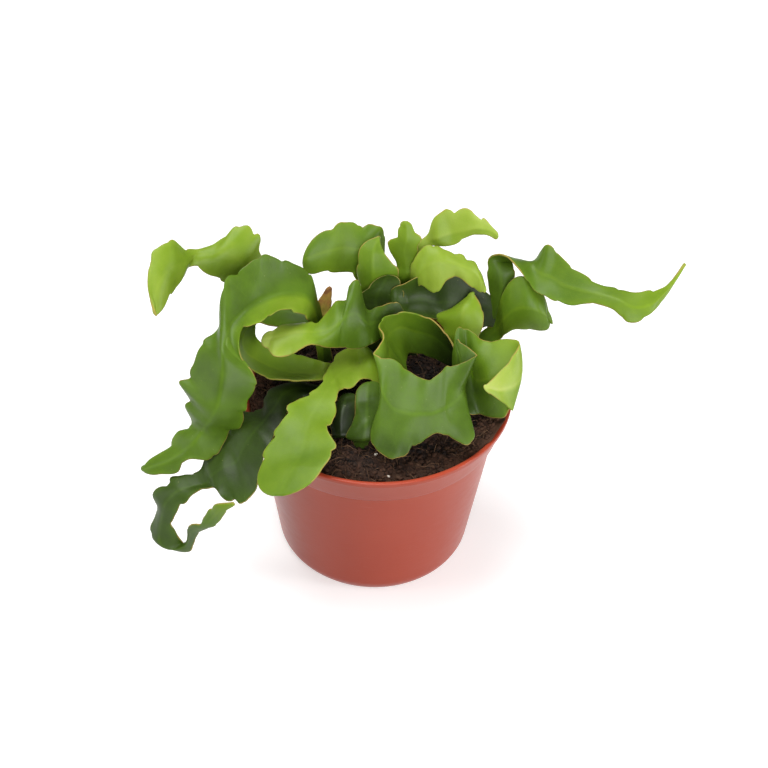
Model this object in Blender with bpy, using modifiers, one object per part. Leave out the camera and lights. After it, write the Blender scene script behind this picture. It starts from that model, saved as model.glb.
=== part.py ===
"""Potted orchid cactus: a tapered plastic nursery pot, its root ball, and curly flat stems.

Metres, +Z up. The origin is the centre of the flat underside of the pot, on the table.
The pot is seen from -Y. Every stem is one flat, leaf-like shoot with its foot in the root ball.
"""
import bmesh
import bpy
import numpy as np
from mathutils import Matrix

for old in list(bpy.data.objects):
    bpy.data.objects.remove(old, do_unlink=True)

MM = 0.001

# ---- pot, in millimetres
POT_R = 60.0            # outer radius at the top edge
POT_H = 85.5            # height of the top edge above the table
BAND_H = 15.0           # height of the rim band
BAND_DRAFT = 4.7        # how much the band narrows towards its lower edge
BAND_STEP = 2.0         # step in from the band to the body below it
BASE_R = 43.5           # outer radius just above the bevelled foot
BEVEL_UP = 5.5          # height of the bevel between the wall and the underside
BEVEL_IN = 3.5          # and how far it goes in
WALL = 1.6              # wall thickness
FLOOR = 2.4             # thickness of the bottom
GROOVE_R = 27.0         # moulded ring groove in the underside
GROOVE_W = 3.0
GROOVE_D = 0.7
DRAIN_D = 7.0           # drain holes through the flat of the bottom
DRAIN_COUNT = 8
DRAIN_EDGE = 0.9        # flat left between a hole and the bevel inside the pot
POT_STEPS = 64

# ---- root ball
GAP = 0.3               # clearance between pieces that touch
SOIL_EDGE = 5.5         # the root ball ends this far below the top edge of the pot
SOIL_DOME = 3.0         # and rises this much towards its middle
SOIL_STEPS = 48
DOME_SHARES = (1.0, 0.86, 0.7, 0.5, 0.25, 0.0)  # rings of the domed top, as shares of its radius

# ---- stems
GROWN_R = 60.0          # the plant spreads with its pot: its places are given for this radius
LEAN = 1.9              # degrees by which the whole plant leans over to -X
TURN = 0.6              # and by which it is turned about the pot's axis
BEHIND = 1.3            # the plant grows this far behind the pot's axis
THICK = 2.4             # a stem is this thick
FOOT_W = 7.0            # and this wide where it enters the root ball
FOOT_DEEP = 8.0         # the foot goes this deep into the root ball
COLLAR = 2.5            # and leaves it upright for this far
ACROSS = 4              # faces across a stem
PER_STATION = 2.4       # faces along a stem between two stations


def soil_height(radius):
    """Height of the root ball's domed top at a distance from the pot's axis."""
    share = min(radius / (POT_R - WALL), 1.0)
    return POT_H - SOIL_EDGE + SOIL_DOME * (1.0 - share * share)


# Each stem: where its foot stands (x, y, direction of its width in degrees), how far it is
# cupped (mm at the midrib), and its margins: pairs of points (mm) from the foot to the tip,
# their heights counted from the pot's top edge, for a pot whose mouth has the radius GROWN_R.
STEMS = {
    "stem_left_arch": ((-24, 22, 180), -2.5, [
        ((-28, 24, 38), (-28, 25, 17)), ((-39, 30, 49), (-40, 22, 25)),
        ((-51, 28, 53), (-48, 18, 25)), ((-60, 24, 47), (-57, 8, 26)),
        ((-69, 16, 42), (-62, -2, 30)), ((-70, 8, 28), (-60, -14, 31)),
        ((-81, -2, 19), (-55, -20, 23)), ((-84, -6, 4), (-56, -18, 12)),
        ((-83, -8, -4), (-62, -14, 3)), ((-81, -9, -11), (-66, -14, -7)),
        ((-89, -13, -15), (-73, -18, -18)),
        ((-92, -17, -22), (-83, -21, -26)), ((-100, -20, -24), (-96, -24, -31)),
        ((-103, -21, -26), (-102, -22, -28))]),
    "stem_left_ring": ((-12, 9, -90), -2.0, [
        ((-26, 14, 8), (-24, 4, 5)), ((-34, 14, 7), (-33, 0, 5)),
        ((-43, 16, 7), (-41, -2, 5)), ((-49, 18, 9), (-51, 0, 6)),
        ((-53, 22, 10), (-58, 6, 9)), ((-55, 28, 10), (-61, 14, 12)),
        ((-55, 33, 12), (-60, 24, 15)), ((-50, 36, 14), (-53, 28, 15)),
        ((-43, 37, 16), (-45, 28, 14)), ((-36, 37, 16), (-36, 29, 13))]),
    "stem_left_low": ((-19, -5, -60), 1.5, [
        ((-32, -3, 3), (-28, -10, 2)), ((-42, -6, 3), (-37, -20, 3)),
        ((-51, -12, 5), (-43, -27, 5)), ((-51, -20, 5), (-46, -36, 4)),
        ((-62, -25, 7), (-51, -42, 1)),
        ((-66, -26, 1), (-52, -48, -11)), ((-73, -28, -11), (-61, -50, -20)),
        ((-76, -28, -19), (-69, -42, -22)), ((-80, -32, -24), (-75, -38, -23)),
        ((-88, -38, -20), (-80, -42, -25)), ((-96, -40, -25), (-86, -44, -32)),
        ((-98, -40, -35), (-90, -44, -40)), ((-100, -42, -47), (-89, -46, -42)),
        ((-94, -44, -55), (-86, -48, -46)), ((-83, -48, -55), (-84, -51, -47)),
        ((-80, -52, -44), (-83, -54, -36)), ((-74, -56, -34), (-78, -56, -29)),
        ((-68, -60, -21), (-73, -58, -18)), ((-63, -61, -16), (-64, -61, -14))]),
    "stem_front_saddle": ((9, 5, -90), 2.0, [
        ((3, 15, 12), (3, -4, 9)), ((-7, 13, 13), (-5, -9, 14)),
        ((-16, 6, 18), (-11, -13, 15)), ((-22, -6, 16), (-14, -18, 15)),
        ((-30, -16, 12), (-18, -24, 11)), ((-37, -26, 9), (-20, -36, 8)),
        ((-42, -38, 9), (-19, -48, 6)), ((-48, -48, 4), (-22, -58, 5)),
        ((-50, -56, -3), (-29, -66, 1)), ((-47, -60, -3), (-34, -67, 0)),
        ((-44, -63, -4), (-38, -66, -2))]),
    "stem_centre_left": ((14, 27, 180), -2.0, [
        ((12, 27, 27), (13, 25, 18)), ((3, 25, 26), (4, 17, 18)),
        ((-4, 20, 28), (-1, 10, 17)), ((-9, 24, 42), (-8, 6, 20)),
        ((-14, 18, 38), (-14, 0, 25)), ((-21, 10, 37), (-21, -4, 27)),
        ((-27, 4, 32), (-28, -4, 29)), ((-34, 4, 33), (-33, -8, 28)),
        ((-41, 2, 36), (-38, -10, 27)), ((-47, -3, 32), (-46, -8, 29))]),
    "stem_dried_stub": ((-21, 33, 0), 0.5, [
        ((-27, 31, 14), (-23, 31, 14)), ((-25, 31, 20), (-21, 31, 20)),
        ((-24, 31, 24), (-22, 31, 24))]),
    "stem_front_scroll": ((37, 2, 127), 2.0, [
        ((36, 6, 17), (34, 8, 5)), ((32, 13, 18), (31, 13, 5)),
        ((25, 20, 22), (25, 19, 5)), ((16, 21, 25), (16, 20, 6)),
        ((9, 17, 28), (8, 17, 11)), ((2, 9, 27), (2, 9, 16)),
        ((1, 1, 25), (2, 0, 15)), ((-1, -4, 24), (3, -12, 12)),
        ((8, -9, 25), (1, -26, 9)), ((12, -14, 22), (-3, -38, 8)),
        ((18, -18, 24), (3, -46, 4)), ((23, -22, 24), (11, -47, 3)),
        ((28, -24, 25), (20, -42, 5)), ((30, -20, 31), (31, -38, 8)),
        ((36, -18, 30), (38, -42, 7)), ((41, -16, 28), (43, -39, 8))]),
    "stem_right_front": ((34, -8, -70), 2.0, [
        ((35, 0, 31), (36, -18, 9)), ((39, 2, 32), (40, -24, 6)),
        ((43, 1, 29), (45, -24, 7)), ((49, -1, 28), (51, -27, 7)),
        ((55, -3, 30), (56, -26, 8)), ((65, -8, 32), (60, -26, 12)),
        ((62, -13, 35), (57, -31, 19)), ((57, -19, 35), (53, -32, 25)),
        ((51, -25, 29), (48, -30, 27))]),
    "stem_bow_tie": ((38, 19, -28), 1.5, [
        ((31, 24, 9), (46, 16, 15)), ((25, 32, 12), (48, 20, 18)),
        ((33, 33, 16), (48, 24, 21)), ((35, 35, 22), (45, 30, 23)),
        ((37, 37, 25), (41, 36, 25))]),
    "stem_light_arch": ((20, 44, -32), -2.0, [
        ((14, 47, 19), (21, 42, 14)), ((16, 46, 31), (24, 40, 21)),
        ((23, 46, 43), (29, 36, 28)), ((30, 46, 41), (33, 37, 33)),
        ((37, 44, 38), (37, 36, 33)), ((44, 40, 37), (41, 33, 29)),
        ((49, 34, 32), (45, 29, 28)), ((49, 31, 29), (47, 28, 27))]),
    "stem_cupped_back": ((6, 38, -56), 2.0, [
        ((5, 42, 18), (9, 36, 12)), ((11, 39, 27), (13, 33, 13)),
        ((18, 37, 30), (20, 30, 17)), ((24, 33, 27), (26, 27, 19)),
        ((30, 31, 25), (30, 28, 20))]),
    "stem_top_right": ((12, 49, -27), -2.0, [
        ((12, 55, 26), (16, 53, 24)), ((15, 56, 37), (19, 53, 33)),
        ((20, 58, 40), (24, 54, 38)), ((27, 60, 49), (28, 51, 38)),
        ((33, 61, 51), (34, 51, 37)), ((40, 61, 53), (38, 52, 39)),
        ((45, 58, 50), (43, 53, 44)), ((51, 54, 49), (48, 51, 44)),
        ((54, 50, 47), (53, 48, 43))]),
    "stem_young_shoot": ((4, 47, -10), 1.0, [
        ((5, 47, 31), (11, 48, 30)), ((4, 50, 39), (14, 50, 38)),
        ((7, 53, 45), (17, 52, 43)), ((11, 54, 49), (16, 53, 48))]),
    "stem_top_left": ((-6, 47, 225), -2.0, [
        ((-2, 50, 21), (-8, 44, 17)), ((0, 56, 36), (-9, 46, 25)),
        ((0, 58, 44), (-11, 45, 25)), ((-5, 58, 44), (-15, 44, 28)),
        ((-12, 57, 48), (-21, 44, 30)), ((-19, 54, 47), (-27, 42, 30)),
        ((-25, 50, 46), (-30, 42, 31)), ((-32, 47, 40), (-33, 44, 34))]),
    "stem_folded_lobe": ((-3, 40, -5), -2.0, [
        ((-5, 41, 15), (2, 40, 16)), ((-11, 41, 34), (5, 39, 30)),
        ((-9, 42, 40), (8, 39, 34)), ((-6, 46, 43), (7, 42, 39)),
        ((-2, 49, 45), (4, 45, 44)), ((0, 51, 48), (3, 50, 48))]),
    "stem_under_leaf": ((-3, 31, -5), 1.0, [
        ((-6, 31, 13), (3, 30, 13)), ((-7, 33, 19), (4, 32, 19)),
        ((-6, 34, 24), (4, 33, 24))]),
    "stem_far_left": ((-14, 39, 225), -2.0, [
        ((-26, 44, 13), (-27, 39, 7)), ((-36, 45, 20), (-36, 40, 10)),
        ((-45, 46, 30), (-43, 41, 18)), ((-52, 46, 44), (-51, 39, 29)),
        ((-57, 46, 54), (-60, 36, 32)), ((-63, 44, 55), (-69, 32, 32)),
        ((-68, 42, 52), (-73, 32, 37)), ((-75, 38, 47), (-78, 32, 40)),
        ((-83, 34, 51), (-83, 29, 44)), ((-90, 30, 60), (-86, 24, 42)),
        ((-93, 24, 61), (-87, 18, 41)), ((-98, 18, 56), (-90, 12, 41)),
        ((-99, 10, 48), (-91, 8, 39)), ((-96, 4, 41), (-93, 4, 38))]),
    "stem_right_long": ((30, 37, -60), -2.0, [
        ((38, 42, 15), (40, 37, 9)), ((46, 43, 28), (49, 38, 21)),
        ((51, 45, 40), (55, 37, 27)), ((60, 44, 37), (62, 41, 32)),
        ((67, 42, 35), (69, 35, 30)), ((72, 40, 40), (74, 31, 28)),
        ((77, 38, 50), (81, 26, 29)), ((84, 32, 47), (88, 22, 29)),
        ((92, 27, 45), (96, 17, 36)), ((100, 20, 43), (104, 13, 37)),
        ((108, 17, 41), (111, 11, 32)), ((115, 18, 39), (119, 13, 32)),
        ((123, 24, 37), (126, 20, 32)), ((130, 32, 36), (131, 30, 33)),
        ((136, 40, 38), (136, 40, 36))]),
    "stem_right_lobe": ((40, 29, -45), -2.0, [
        ((46, 34, 9), (53, 27, 7)), ((51, 36, 19), (63, 28, 10)),
        ((56, 30, 30), (74, 23, 13)), ((60, 33, 35), (78, 24, 18)),
        ((64, 33, 37), (76, 26, 24)), ((69, 30, 35), (72, 26, 31))]),
    "stem_low_rolled": ((-6, -33, 5), -1.0, [
        ((-12, -31, 3), (-1, -29, 2)), ((-10, -25, 8), (0, -20, 5)),
        ((-9, -19, 9), (1, -13, 5)), ((-8, -15, 10), (0, -11, 5))]),
    "stem_low_left": ((-17, -28, 35), -1.0, [
        ((-20, -31, 3), (-13, -26, 2)), ((-19, -25, 4), (-12, -19, 3)),
        ((-17, -17, 8), (-10, -12, 6)), ((-16, -13, 9), (-11, -9, 8))]),
}

visible = bpy.data.collections.new("potted_orchid_cactus")
hidden = bpy.data.collections.new("cutters")
bpy.context.scene.collection.children.link(visible)
bpy.context.scene.collection.children.link(hidden)


def material(name, colour, roughness):
    """A plain Principled material."""
    made = bpy.data.materials.new(name)
    made.use_nodes = True
    shader = made.node_tree.nodes["Principled BSDF"]
    shader.inputs["Base Color"].default_value = (*colour, 1.0)
    shader.inputs["Roughness"].default_value = roughness
    return made


def add(name, bm, finish):
    """Turn a bmesh (millimetres) into a smooth shaded object (metres) with its own material."""
    bmesh.ops.scale(bm, vec=(MM, MM, MM), verts=bm.verts)
    mesh = bpy.data.meshes.new(name)
    bm.to_mesh(mesh)
    bm.free()
    for face in mesh.polygons:
        face.use_smooth = True
    mesh.materials.append(finish)
    made = bpy.data.objects.new(name, mesh)
    visible.objects.link(made)
    return made


def turned(name, profile, steps, finish):
    """Spin a closed outline (radius, height) about the pot's axis."""
    bm = bmesh.new()
    corners = [bm.verts.new((radius, 0.0, height)) for radius, height in profile]
    for first, second in zip(corners, corners[1:]):
        bm.edges.new((first, second))
    made = add(name, bm, finish)
    screw = made.modifiers.new("turn", "SCREW")
    screw.axis = "Z"
    screw.steps = steps
    screw.render_steps = steps
    screw.use_merge_vertices = True
    screw.merge_threshold = 0.000001
    screw.use_smooth_shade = True
    screw.use_normal_calculate = True
    return made


def catmull_rom(points, count):
    """Smooth curve through the points: the uniform Catmull-Rom spline at evenly spaced parameters."""
    points = np.asarray(points, dtype=float)
    padded = np.vstack([2.0 * points[0] - points[1], points, 2.0 * points[-1] - points[-2]])
    at = np.linspace(0.0, len(points) - 1.0, count)
    start = np.minimum(at.astype(int), len(points) - 2)
    t = (at - start)[:, None]
    p0, p1, p2, p3 = (padded[start + shift] for shift in range(4))
    return 0.5 * (2.0 * p1 + (p2 - p0) * t + (2.0 * p0 - 5.0 * p1 + 4.0 * p2 - p3) * t ** 2
                  + (3.0 * p1 - p0 - 3.0 * p2 + p3) * t ** 3)


def foot_points(foot, level, half):
    """The two margins of a foot at one height."""
    turn = np.radians(foot[2])
    side = half * np.array([np.cos(turn), np.sin(turn), 0.0])
    middle = np.array([*spread(*foot[:2]), level])
    return middle - side, middle + side


def spread(x, y):
    """A place in the pot's plan, moved out or in with the pot's radius."""
    return x * POT_R / GROWN_R, y * POT_R / GROWN_R


def leaning(point):
    """A point over the pot, turned and leaned with the plant about the middle of the pot's mouth."""
    x, y = spread(*point[:2])
    up = point[2]
    turn, lean = np.radians(TURN), np.radians(LEAN)
    x, y = x * np.cos(turn) - y * np.sin(turn), x * np.sin(turn) + y * np.cos(turn)
    return x * np.cos(lean) - up * np.sin(lean), y + BEHIND, POT_H + x * np.sin(lean) + up * np.cos(lean)


def margins(foot, stations):
    """Both margins of a stem from the bottom of its foot to its tip."""
    ground = soil_height(np.hypot(*spread(*foot[:2])))
    bottom = foot_points(foot, ground - FOOT_DEEP, FOOT_W / 2)
    collar = foot_points(foot, ground + COLLAR, FOOT_W / 2)
    count = int(round(PER_STATION * len(stations))) + 2
    rails = []
    for side in (0, 1):
        curve = catmull_rom([collar[side]] + [leaning(pair[side]) for pair in stations], count)
        rails.append(np.vstack([bottom[side], curve]))
    return rails


def stem(name, foot, cup, stations, finish):
    """A flat shoot: a grid laid between its two margins, cupped at the midrib, then thickened."""
    left, right = margins(foot, stations)
    rows = len(left)
    bm = bmesh.new()
    bmesh.ops.create_grid(bm, x_segments=ACROSS, y_segments=rows - 1, size=1.0)
    along = np.gradient((left + right) / 2, axis=0)
    facing = np.cross(along, right - left)
    facing /= np.linalg.norm(facing, axis=1)[:, None]
    rise = np.clip(np.arange(rows) - 1, 0, 3) / 3.0
    for vert in bm.verts:
        row = int(round((vert.co.y + 1.0) / 2.0 * (rows - 1)))
        across = vert.co.x
        share = (across + 1.0) / 2.0
        chord = left[row] * (1.0 - share) + right[row] * share
        vert.co = chord + facing[row] * cup * rise[row] * (1.0 - across * across)
    made = add(name, bm, finish)
    shell = made.modifiers.new("thickness", "SOLIDIFY")
    shell.thickness = THICK * MM
    shell.offset = 0.0
    return made


def cutter(name, bm):
    """A hidden object that cuts a hole."""
    made = add(name, bm, None)
    visible.objects.unlink(made)
    hidden.objects.link(made)
    made.hide_render = True
    made.display_type = "WIRE"
    return made


def cut(target, tool):
    """Take one shape out of another."""
    made = target.modifiers.new(tool.name, "BOOLEAN")
    made.operation = "DIFFERENCE"
    made.solver = "EXACT"
    made.object = tool


# ---- pot: outer wall from the top edge down, underside, then the inside back up
lip = WALL + 0.4
band_low = POT_H - BAND_H
body_top_r = POT_R - BAND_DRAFT - BAND_STEP
inner_top_r = POT_R - lip
inner_band_r = POT_R - BAND_DRAFT - lip
inner_body_r = body_top_r - WALL
inner_low_r = BASE_R - WALL
POT_OUTLINE = [
    (POT_R - 0.6, POT_H), (POT_R, POT_H - 0.6), (POT_R - BAND_DRAFT, band_low + 0.6),
    (POT_R - BAND_DRAFT - 0.6, band_low), (body_top_r, band_low - 0.4),
    (BASE_R, BEVEL_UP), (BASE_R - 0.35 * BEVEL_IN, 0.5 * BEVEL_UP),
    (BASE_R - BEVEL_IN, 0.0),
    (GROOVE_R + GROOVE_W / 2, 0.0), (GROOVE_R + GROOVE_W / 2 - GROOVE_D, GROOVE_D),
    (GROOVE_R - GROOVE_W / 2 + GROOVE_D, GROOVE_D), (GROOVE_R - GROOVE_W / 2, 0.0), (0.0, 0.0),
]
POT_INSIDE = [
    (0.0, FLOOR), (inner_low_r - BEVEL_IN, FLOOR), (inner_low_r, FLOOR + BEVEL_UP),
    (inner_body_r, band_low - 2.0), (inner_band_r, band_low + 0.6),
    (inner_top_r, POT_H - 0.6), (POT_R - lip + 0.6, POT_H), (POT_R - 0.6, POT_H),
]
pot = turned("pot", POT_OUTLINE + POT_INSIDE, POT_STEPS, material("pot_plastic", (0.38, 0.075, 0.04), 0.4))
drain_r = inner_low_r - BEVEL_IN - DRAIN_EDGE - DRAIN_D / 2
for number in range(DRAIN_COUNT):
    angle = 2.0 * np.pi * (number + 0.5) / DRAIN_COUNT + np.pi / POT_STEPS  # clear of the wall's edges
    bm = bmesh.new()
    bmesh.ops.create_cone(bm, cap_ends=True, segments=16, radius1=DRAIN_D / 2, radius2=DRAIN_D / 2,
                          depth=4.0 * FLOOR)
    bmesh.ops.rotate(bm, cent=(0.0, 0.0, 0.0), matrix=Matrix.Rotation(angle, 3, "Z"), verts=bm.verts)
    centre = (drain_r * np.cos(angle), drain_r * np.sin(angle), FLOOR / 2)
    bmesh.ops.translate(bm, vec=centre, verts=bm.verts)
    cut(pot, cutter("drain_cutter_%d" % number, bm))

# ---- root ball: follows the inside of the pot a small gap away, with a domed top
SOIL_OUTLINE = [(0.0, FLOOR + GAP), (inner_low_r - BEVEL_IN - GAP, FLOOR + GAP),
                (inner_low_r - GAP, FLOOR + BEVEL_UP), (inner_body_r - GAP, band_low - 2.0),
                (inner_band_r - GAP, band_low + 0.6)]
soil_top_r = inner_top_r - BAND_DRAFT * SOIL_EDGE / BAND_H - GAP
SOIL_OUTLINE += [(soil_top_r * share, soil_height(soil_top_r * share)) for share in DOME_SHARES]
soil = turned("root_ball", SOIL_OUTLINE, SOIL_STEPS, material("soil", (0.05, 0.03, 0.02), 0.9))

for name, (foot, cup, stations) in STEMS.items():
    stem(name, foot, cup, stations, material(name + "_skin", (0.10, 0.22, 0.04), 0.35))
    place = spread(*foot[:2])
    ground = soil_height(np.hypot(*place))
    bm = bmesh.new()
    bmesh.ops.create_cube(bm, size=1.0)
    size = (FOOT_W + 2.0 * GAP, THICK + 2.0 * GAP, FOOT_DEEP + GAP + COLLAR)
    bmesh.ops.scale(bm, vec=size, verts=bm.verts)
    bmesh.ops.rotate(bm, cent=(0.0, 0.0, 0.0), matrix=Matrix.Rotation(np.radians(foot[2]), 3, "Z"),
                     verts=bm.verts)
    middle = ground + (COLLAR - FOOT_DEEP - GAP) / 2
    bmesh.ops.translate(bm, vec=(*place, middle), verts=bm.verts)
    cut(soil, cutter("socket_of_" + name, bm))
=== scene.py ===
# %% [markdown]
# # A potted orchid cactus
# An orchid cactus has no true leaves. What looks like a leaf is a flat green stem with a notched
# margin and a midrib, and here about twenty of them curl out of a small plastic pot. Each stem is
# one surface with two parameters, one across it and one along it, so the lesson is mostly about
# one function that lays such a surface between two curves.

import bmesh
import bpy
import numpy as np
from mathutils import Matrix, Vector


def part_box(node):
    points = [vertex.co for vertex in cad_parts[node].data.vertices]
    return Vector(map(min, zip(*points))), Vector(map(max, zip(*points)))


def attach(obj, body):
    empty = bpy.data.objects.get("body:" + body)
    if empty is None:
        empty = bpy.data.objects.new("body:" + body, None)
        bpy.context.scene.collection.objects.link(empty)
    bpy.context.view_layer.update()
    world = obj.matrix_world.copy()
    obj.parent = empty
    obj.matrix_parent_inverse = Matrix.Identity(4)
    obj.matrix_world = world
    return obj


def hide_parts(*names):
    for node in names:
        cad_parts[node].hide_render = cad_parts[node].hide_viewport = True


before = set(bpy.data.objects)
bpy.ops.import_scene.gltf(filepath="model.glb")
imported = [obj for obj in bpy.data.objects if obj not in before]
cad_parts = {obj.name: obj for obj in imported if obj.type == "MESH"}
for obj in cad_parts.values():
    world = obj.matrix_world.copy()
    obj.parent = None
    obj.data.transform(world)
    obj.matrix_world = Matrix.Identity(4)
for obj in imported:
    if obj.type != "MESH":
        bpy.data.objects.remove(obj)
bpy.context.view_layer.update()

MM = 0.001

# %% [markdown]
# ## The camera
# A long lens looks down into the pot from well above its rim, and its distance keeps the far
# stems nearly as large as the near ones. The camera's own axes are written as the three columns
# of a matrix, which is surer than a chain of turns about X, Y and Z.

# %% The camera
AIM = Vector((3.0, 1.3, 87.5)) * MM
TILT = np.radians(41.9)
ROLL = np.radians(1.9)
AWAY = 900.0 * MM
LENS = 95.5

back = Vector((0.0, -np.cos(TILT), np.sin(TILT)))
right = Vector((1.0, 0.0, 0.0))
up = back.cross(right)
axes = Matrix((right * np.cos(ROLL) + up * np.sin(ROLL),
               up * np.cos(ROLL) - right * np.sin(ROLL), back))
camera = bpy.data.objects.new("camera", bpy.data.cameras.new("camera"))
camera.data.lens = LENS
camera.data.clip_start = 0.01
camera.matrix_world = Matrix.Translation(AIM + back * AWAY) @ axes.transposed().to_4x4()
bpy.context.scene.collection.objects.link(camera)
bpy.context.scene.camera = camera
print("camera at", [round(v, 3) for v in camera.matrix_world.translation])

# %% [markdown]
# ## Node maths as sums
# A shader is a graph of nodes, and a sum of five terms is already nine nodes to place by hand.
# A small class that wraps one socket and answers to Python's own signs keeps a finish readable:
# `0.3 + 0.1 * noise` adds the Math nodes by itself. Colours don't survive a Math node, so they
# are blended with Mix nodes.

# %% A wire between nodes, and a finish
class Wire:
    """One output socket; +, - and * on it add Math nodes, whichever side the number is on."""

    def __init__(self, finish, socket):
        self.finish, self.socket = finish, socket

    def __add__(self, other):
        return self.finish.math("ADD", self, other)

    def __sub__(self, other):
        return self.finish.math("SUBTRACT", self, other)

    def __rsub__(self, other):
        return self.finish.math("SUBTRACT", other, self)

    def __mul__(self, other):
        return self.finish.math("MULTIPLY", self, other)

    __radd__, __rmul__ = __add__, __mul__


class Finish:
    """A material: fixed values on the shader's own sockets, and nodes for what varies."""

    def __init__(self, name, fixed):
        self.material = bpy.data.materials.new(name)
        self.material.use_nodes = True
        self.tree = self.material.node_tree
        self.shader = self.tree.nodes["Principled BSDF"]
        for socket, value in fixed.items():
            self.put(self.shader.inputs[socket], value)

    def put(self, socket, value):
        """Link a wire into a socket, or set its value; a colour of three numbers gets a fourth."""
        if isinstance(value, Wire):
            self.tree.links.new(value.socket, socket)
        else:
            colour = socket.type == "RGBA" and len(value) == 3
            socket.default_value = (*value, 1.0) if colour else value

    def node(self, kind, settings, values, output=0):
        """A node of any type: its settings first, then the values or links of its sockets."""
        made = self.tree.nodes.new("ShaderNode" + kind)
        for name, value in settings.items():
            if name == "stops":
                stops = made.color_ramp.elements
                stops[0].position, stops[1].position = value[0][0], value[-1][0]
                for place, _ in value[1:-1]:
                    stops.new(place)
                for stop, (_, colour) in zip(stops, value):
                    stop.color = (*colour, 1.0)
            else:
                setattr(made, name, value)
        for name, value in values.items():
            self.put(made.inputs[name], value)
        return Wire(self, made.outputs[output])

    def math(self, operation, *parts):
        return self.node("Math", {"operation": operation}, dict(enumerate(parts)))

    def mix(self, share, first, second):
        """Two colours blended by a share from 0 to 1; a Mix node has its colours at 6, 7 and 2."""
        return self.node("Mix", {"data_type": "RGBA"}, {0: share, 6: first, 7: second}, 2)

    def step(self, value, low, high):
        """0 below low and 1 above high, with a smooth step between; low may be the higher."""
        return self.node("MapRange", {"interpolation_type": "SMOOTHSTEP"},
                         {"Value": value, "From Min": low, "From Max": high})

    def ramp(self, value, stops):
        return self.node("ValToRGB", {"stops": stops}, {"Fac": value})

    def place(self, stretch=(1.0, 1.0, 1.0)):
        """Object coordinates in millimetres, stretched along an axis by making it count less."""
        coords = self.node("TexCoord", {}, {}, "Object")
        return self.node("VectorMath", {"operation": "MULTIPLY"},
                         {0: coords, 1: tuple(1.0 / (MM * s) for s in stretch)})

    def noise(self, size, detail=2.0, stretch=(1.0, 1.0, 1.0), sharp=0.5):
        """Soft random patches about this many millimetres across, from 0 to 1."""
        return self.node("TexNoise", {}, {"Vector": self.place(stretch), "Scale": 1.0 / size,
                                          "Detail": detail, "Roughness": sharp})

    def spots(self, size, keep):
        """Small round spots: 1 at the middle of every cell, 0 beyond `keep` millimetres from it."""
        far = self.node("TexVoronoi", {}, {"Vector": self.place(), "Scale": 1.0 / size}, "Distance")
        return self.step(far * size, keep, keep * 0.5)

    def value(self, name):
        """A number that the mesh carries at its points."""
        return self.node("Attribute", {"attribute_name": name}, {}, "Fac")

    def emboss(self, height, depth):
        """A height from 0 to 1 felt by the light as this many millimetres."""
        bump = self.node("Bump", {}, {"Height": height, "Distance": depth * MM, "Strength": 1.0})
        self.put(self.shader.inputs["Normal"], bump)


print("wires and finishes are ready")

# %% [markdown]
# ## From arrays to a mesh
# Every piece below is a grid of points: rows along it, and a ring of points round it. Neighbours
# in the grid make a four-sided face, and the two ends are closed by fans round one point each,
# so the surface has an inside and an outside. The signed volume says which way round the faces
# are: it is negative when they look inwards.

# %% A grid becomes a closed mesh
def ring_faces(rows, ring):
    """Faces of a closed grid: quads between neighbours both ways, and a fan at each end."""
    row, column = np.mgrid[0:rows - 1, 0:ring]
    here, after = row * ring + column, row * ring + (column + 1) % ring
    quads = np.stack([here, after, after + ring, here + ring], axis=-1).reshape(-1, 4)
    column = np.arange(ring)
    after = (column + 1) % ring
    foot, tip, last = rows * ring, rows * ring + 1, (rows - 1) * ring
    fan = np.full_like(column, foot), np.full_like(column, tip)
    return quads, np.vstack([np.stack([fan[0], after, column], axis=-1),
                             np.stack([fan[1], last + column, last + after], axis=-1)])


def with_ends(grid):
    """The grid's points row by row, then the middle of its first row and of its last row."""
    return np.vstack([grid.reshape(-1, grid.shape[-1]), grid[0].mean(0), grid[-1].mean(0)])


def volume(points, triangles):
    """Sum over the triangles of the box product of their corners, divided by six."""
    a, b, c = (points[triangles[:, corner]] for corner in range(3))
    return np.einsum("ij,ij->i", a, np.cross(b, c)).sum() / 6.0


def note(mesh, label, numbers):
    """Write one number at every point, for a finish to read."""
    field = mesh.attributes.new(label, "FLOAT", "POINT")
    field.data.foreach_set("value", numbers.astype(np.float32))


def mesh_object(name, points, quads, triangles, values=()):
    """A smooth mesh object from points in millimetres; `values` are numbers at the points."""
    cut = np.vstack([quads[:, [0, 1, 2]], quads[:, [0, 2, 3]], triangles])
    if volume(points - points.mean(0), cut) < 0.0:
        quads, triangles = quads[:, ::-1], triangles[:, ::-1]
    mesh = bpy.data.meshes.new(name)
    mesh.from_pydata((points * MM).tolist(), [], quads.tolist() + triangles.tolist())
    mesh.polygons.foreach_set("use_smooth", np.ones(len(mesh.polygons), dtype=bool))
    for label, numbers in dict(values).items():
        note(mesh, label, numbers)
    made = bpy.data.objects.new(name, mesh)
    bpy.context.scene.collection.objects.link(made)
    return made


def settle(piece, node, finish):
    """The piece stands for a CAD node, takes its finish from that slot and moves with the plant."""
    piece.data.materials.clear()
    piece.data.materials.append(finish.material)
    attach(piece, "root")
    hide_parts(node)
    return piece


SQUARES, MIDDLE = 96, 43.0

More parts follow.
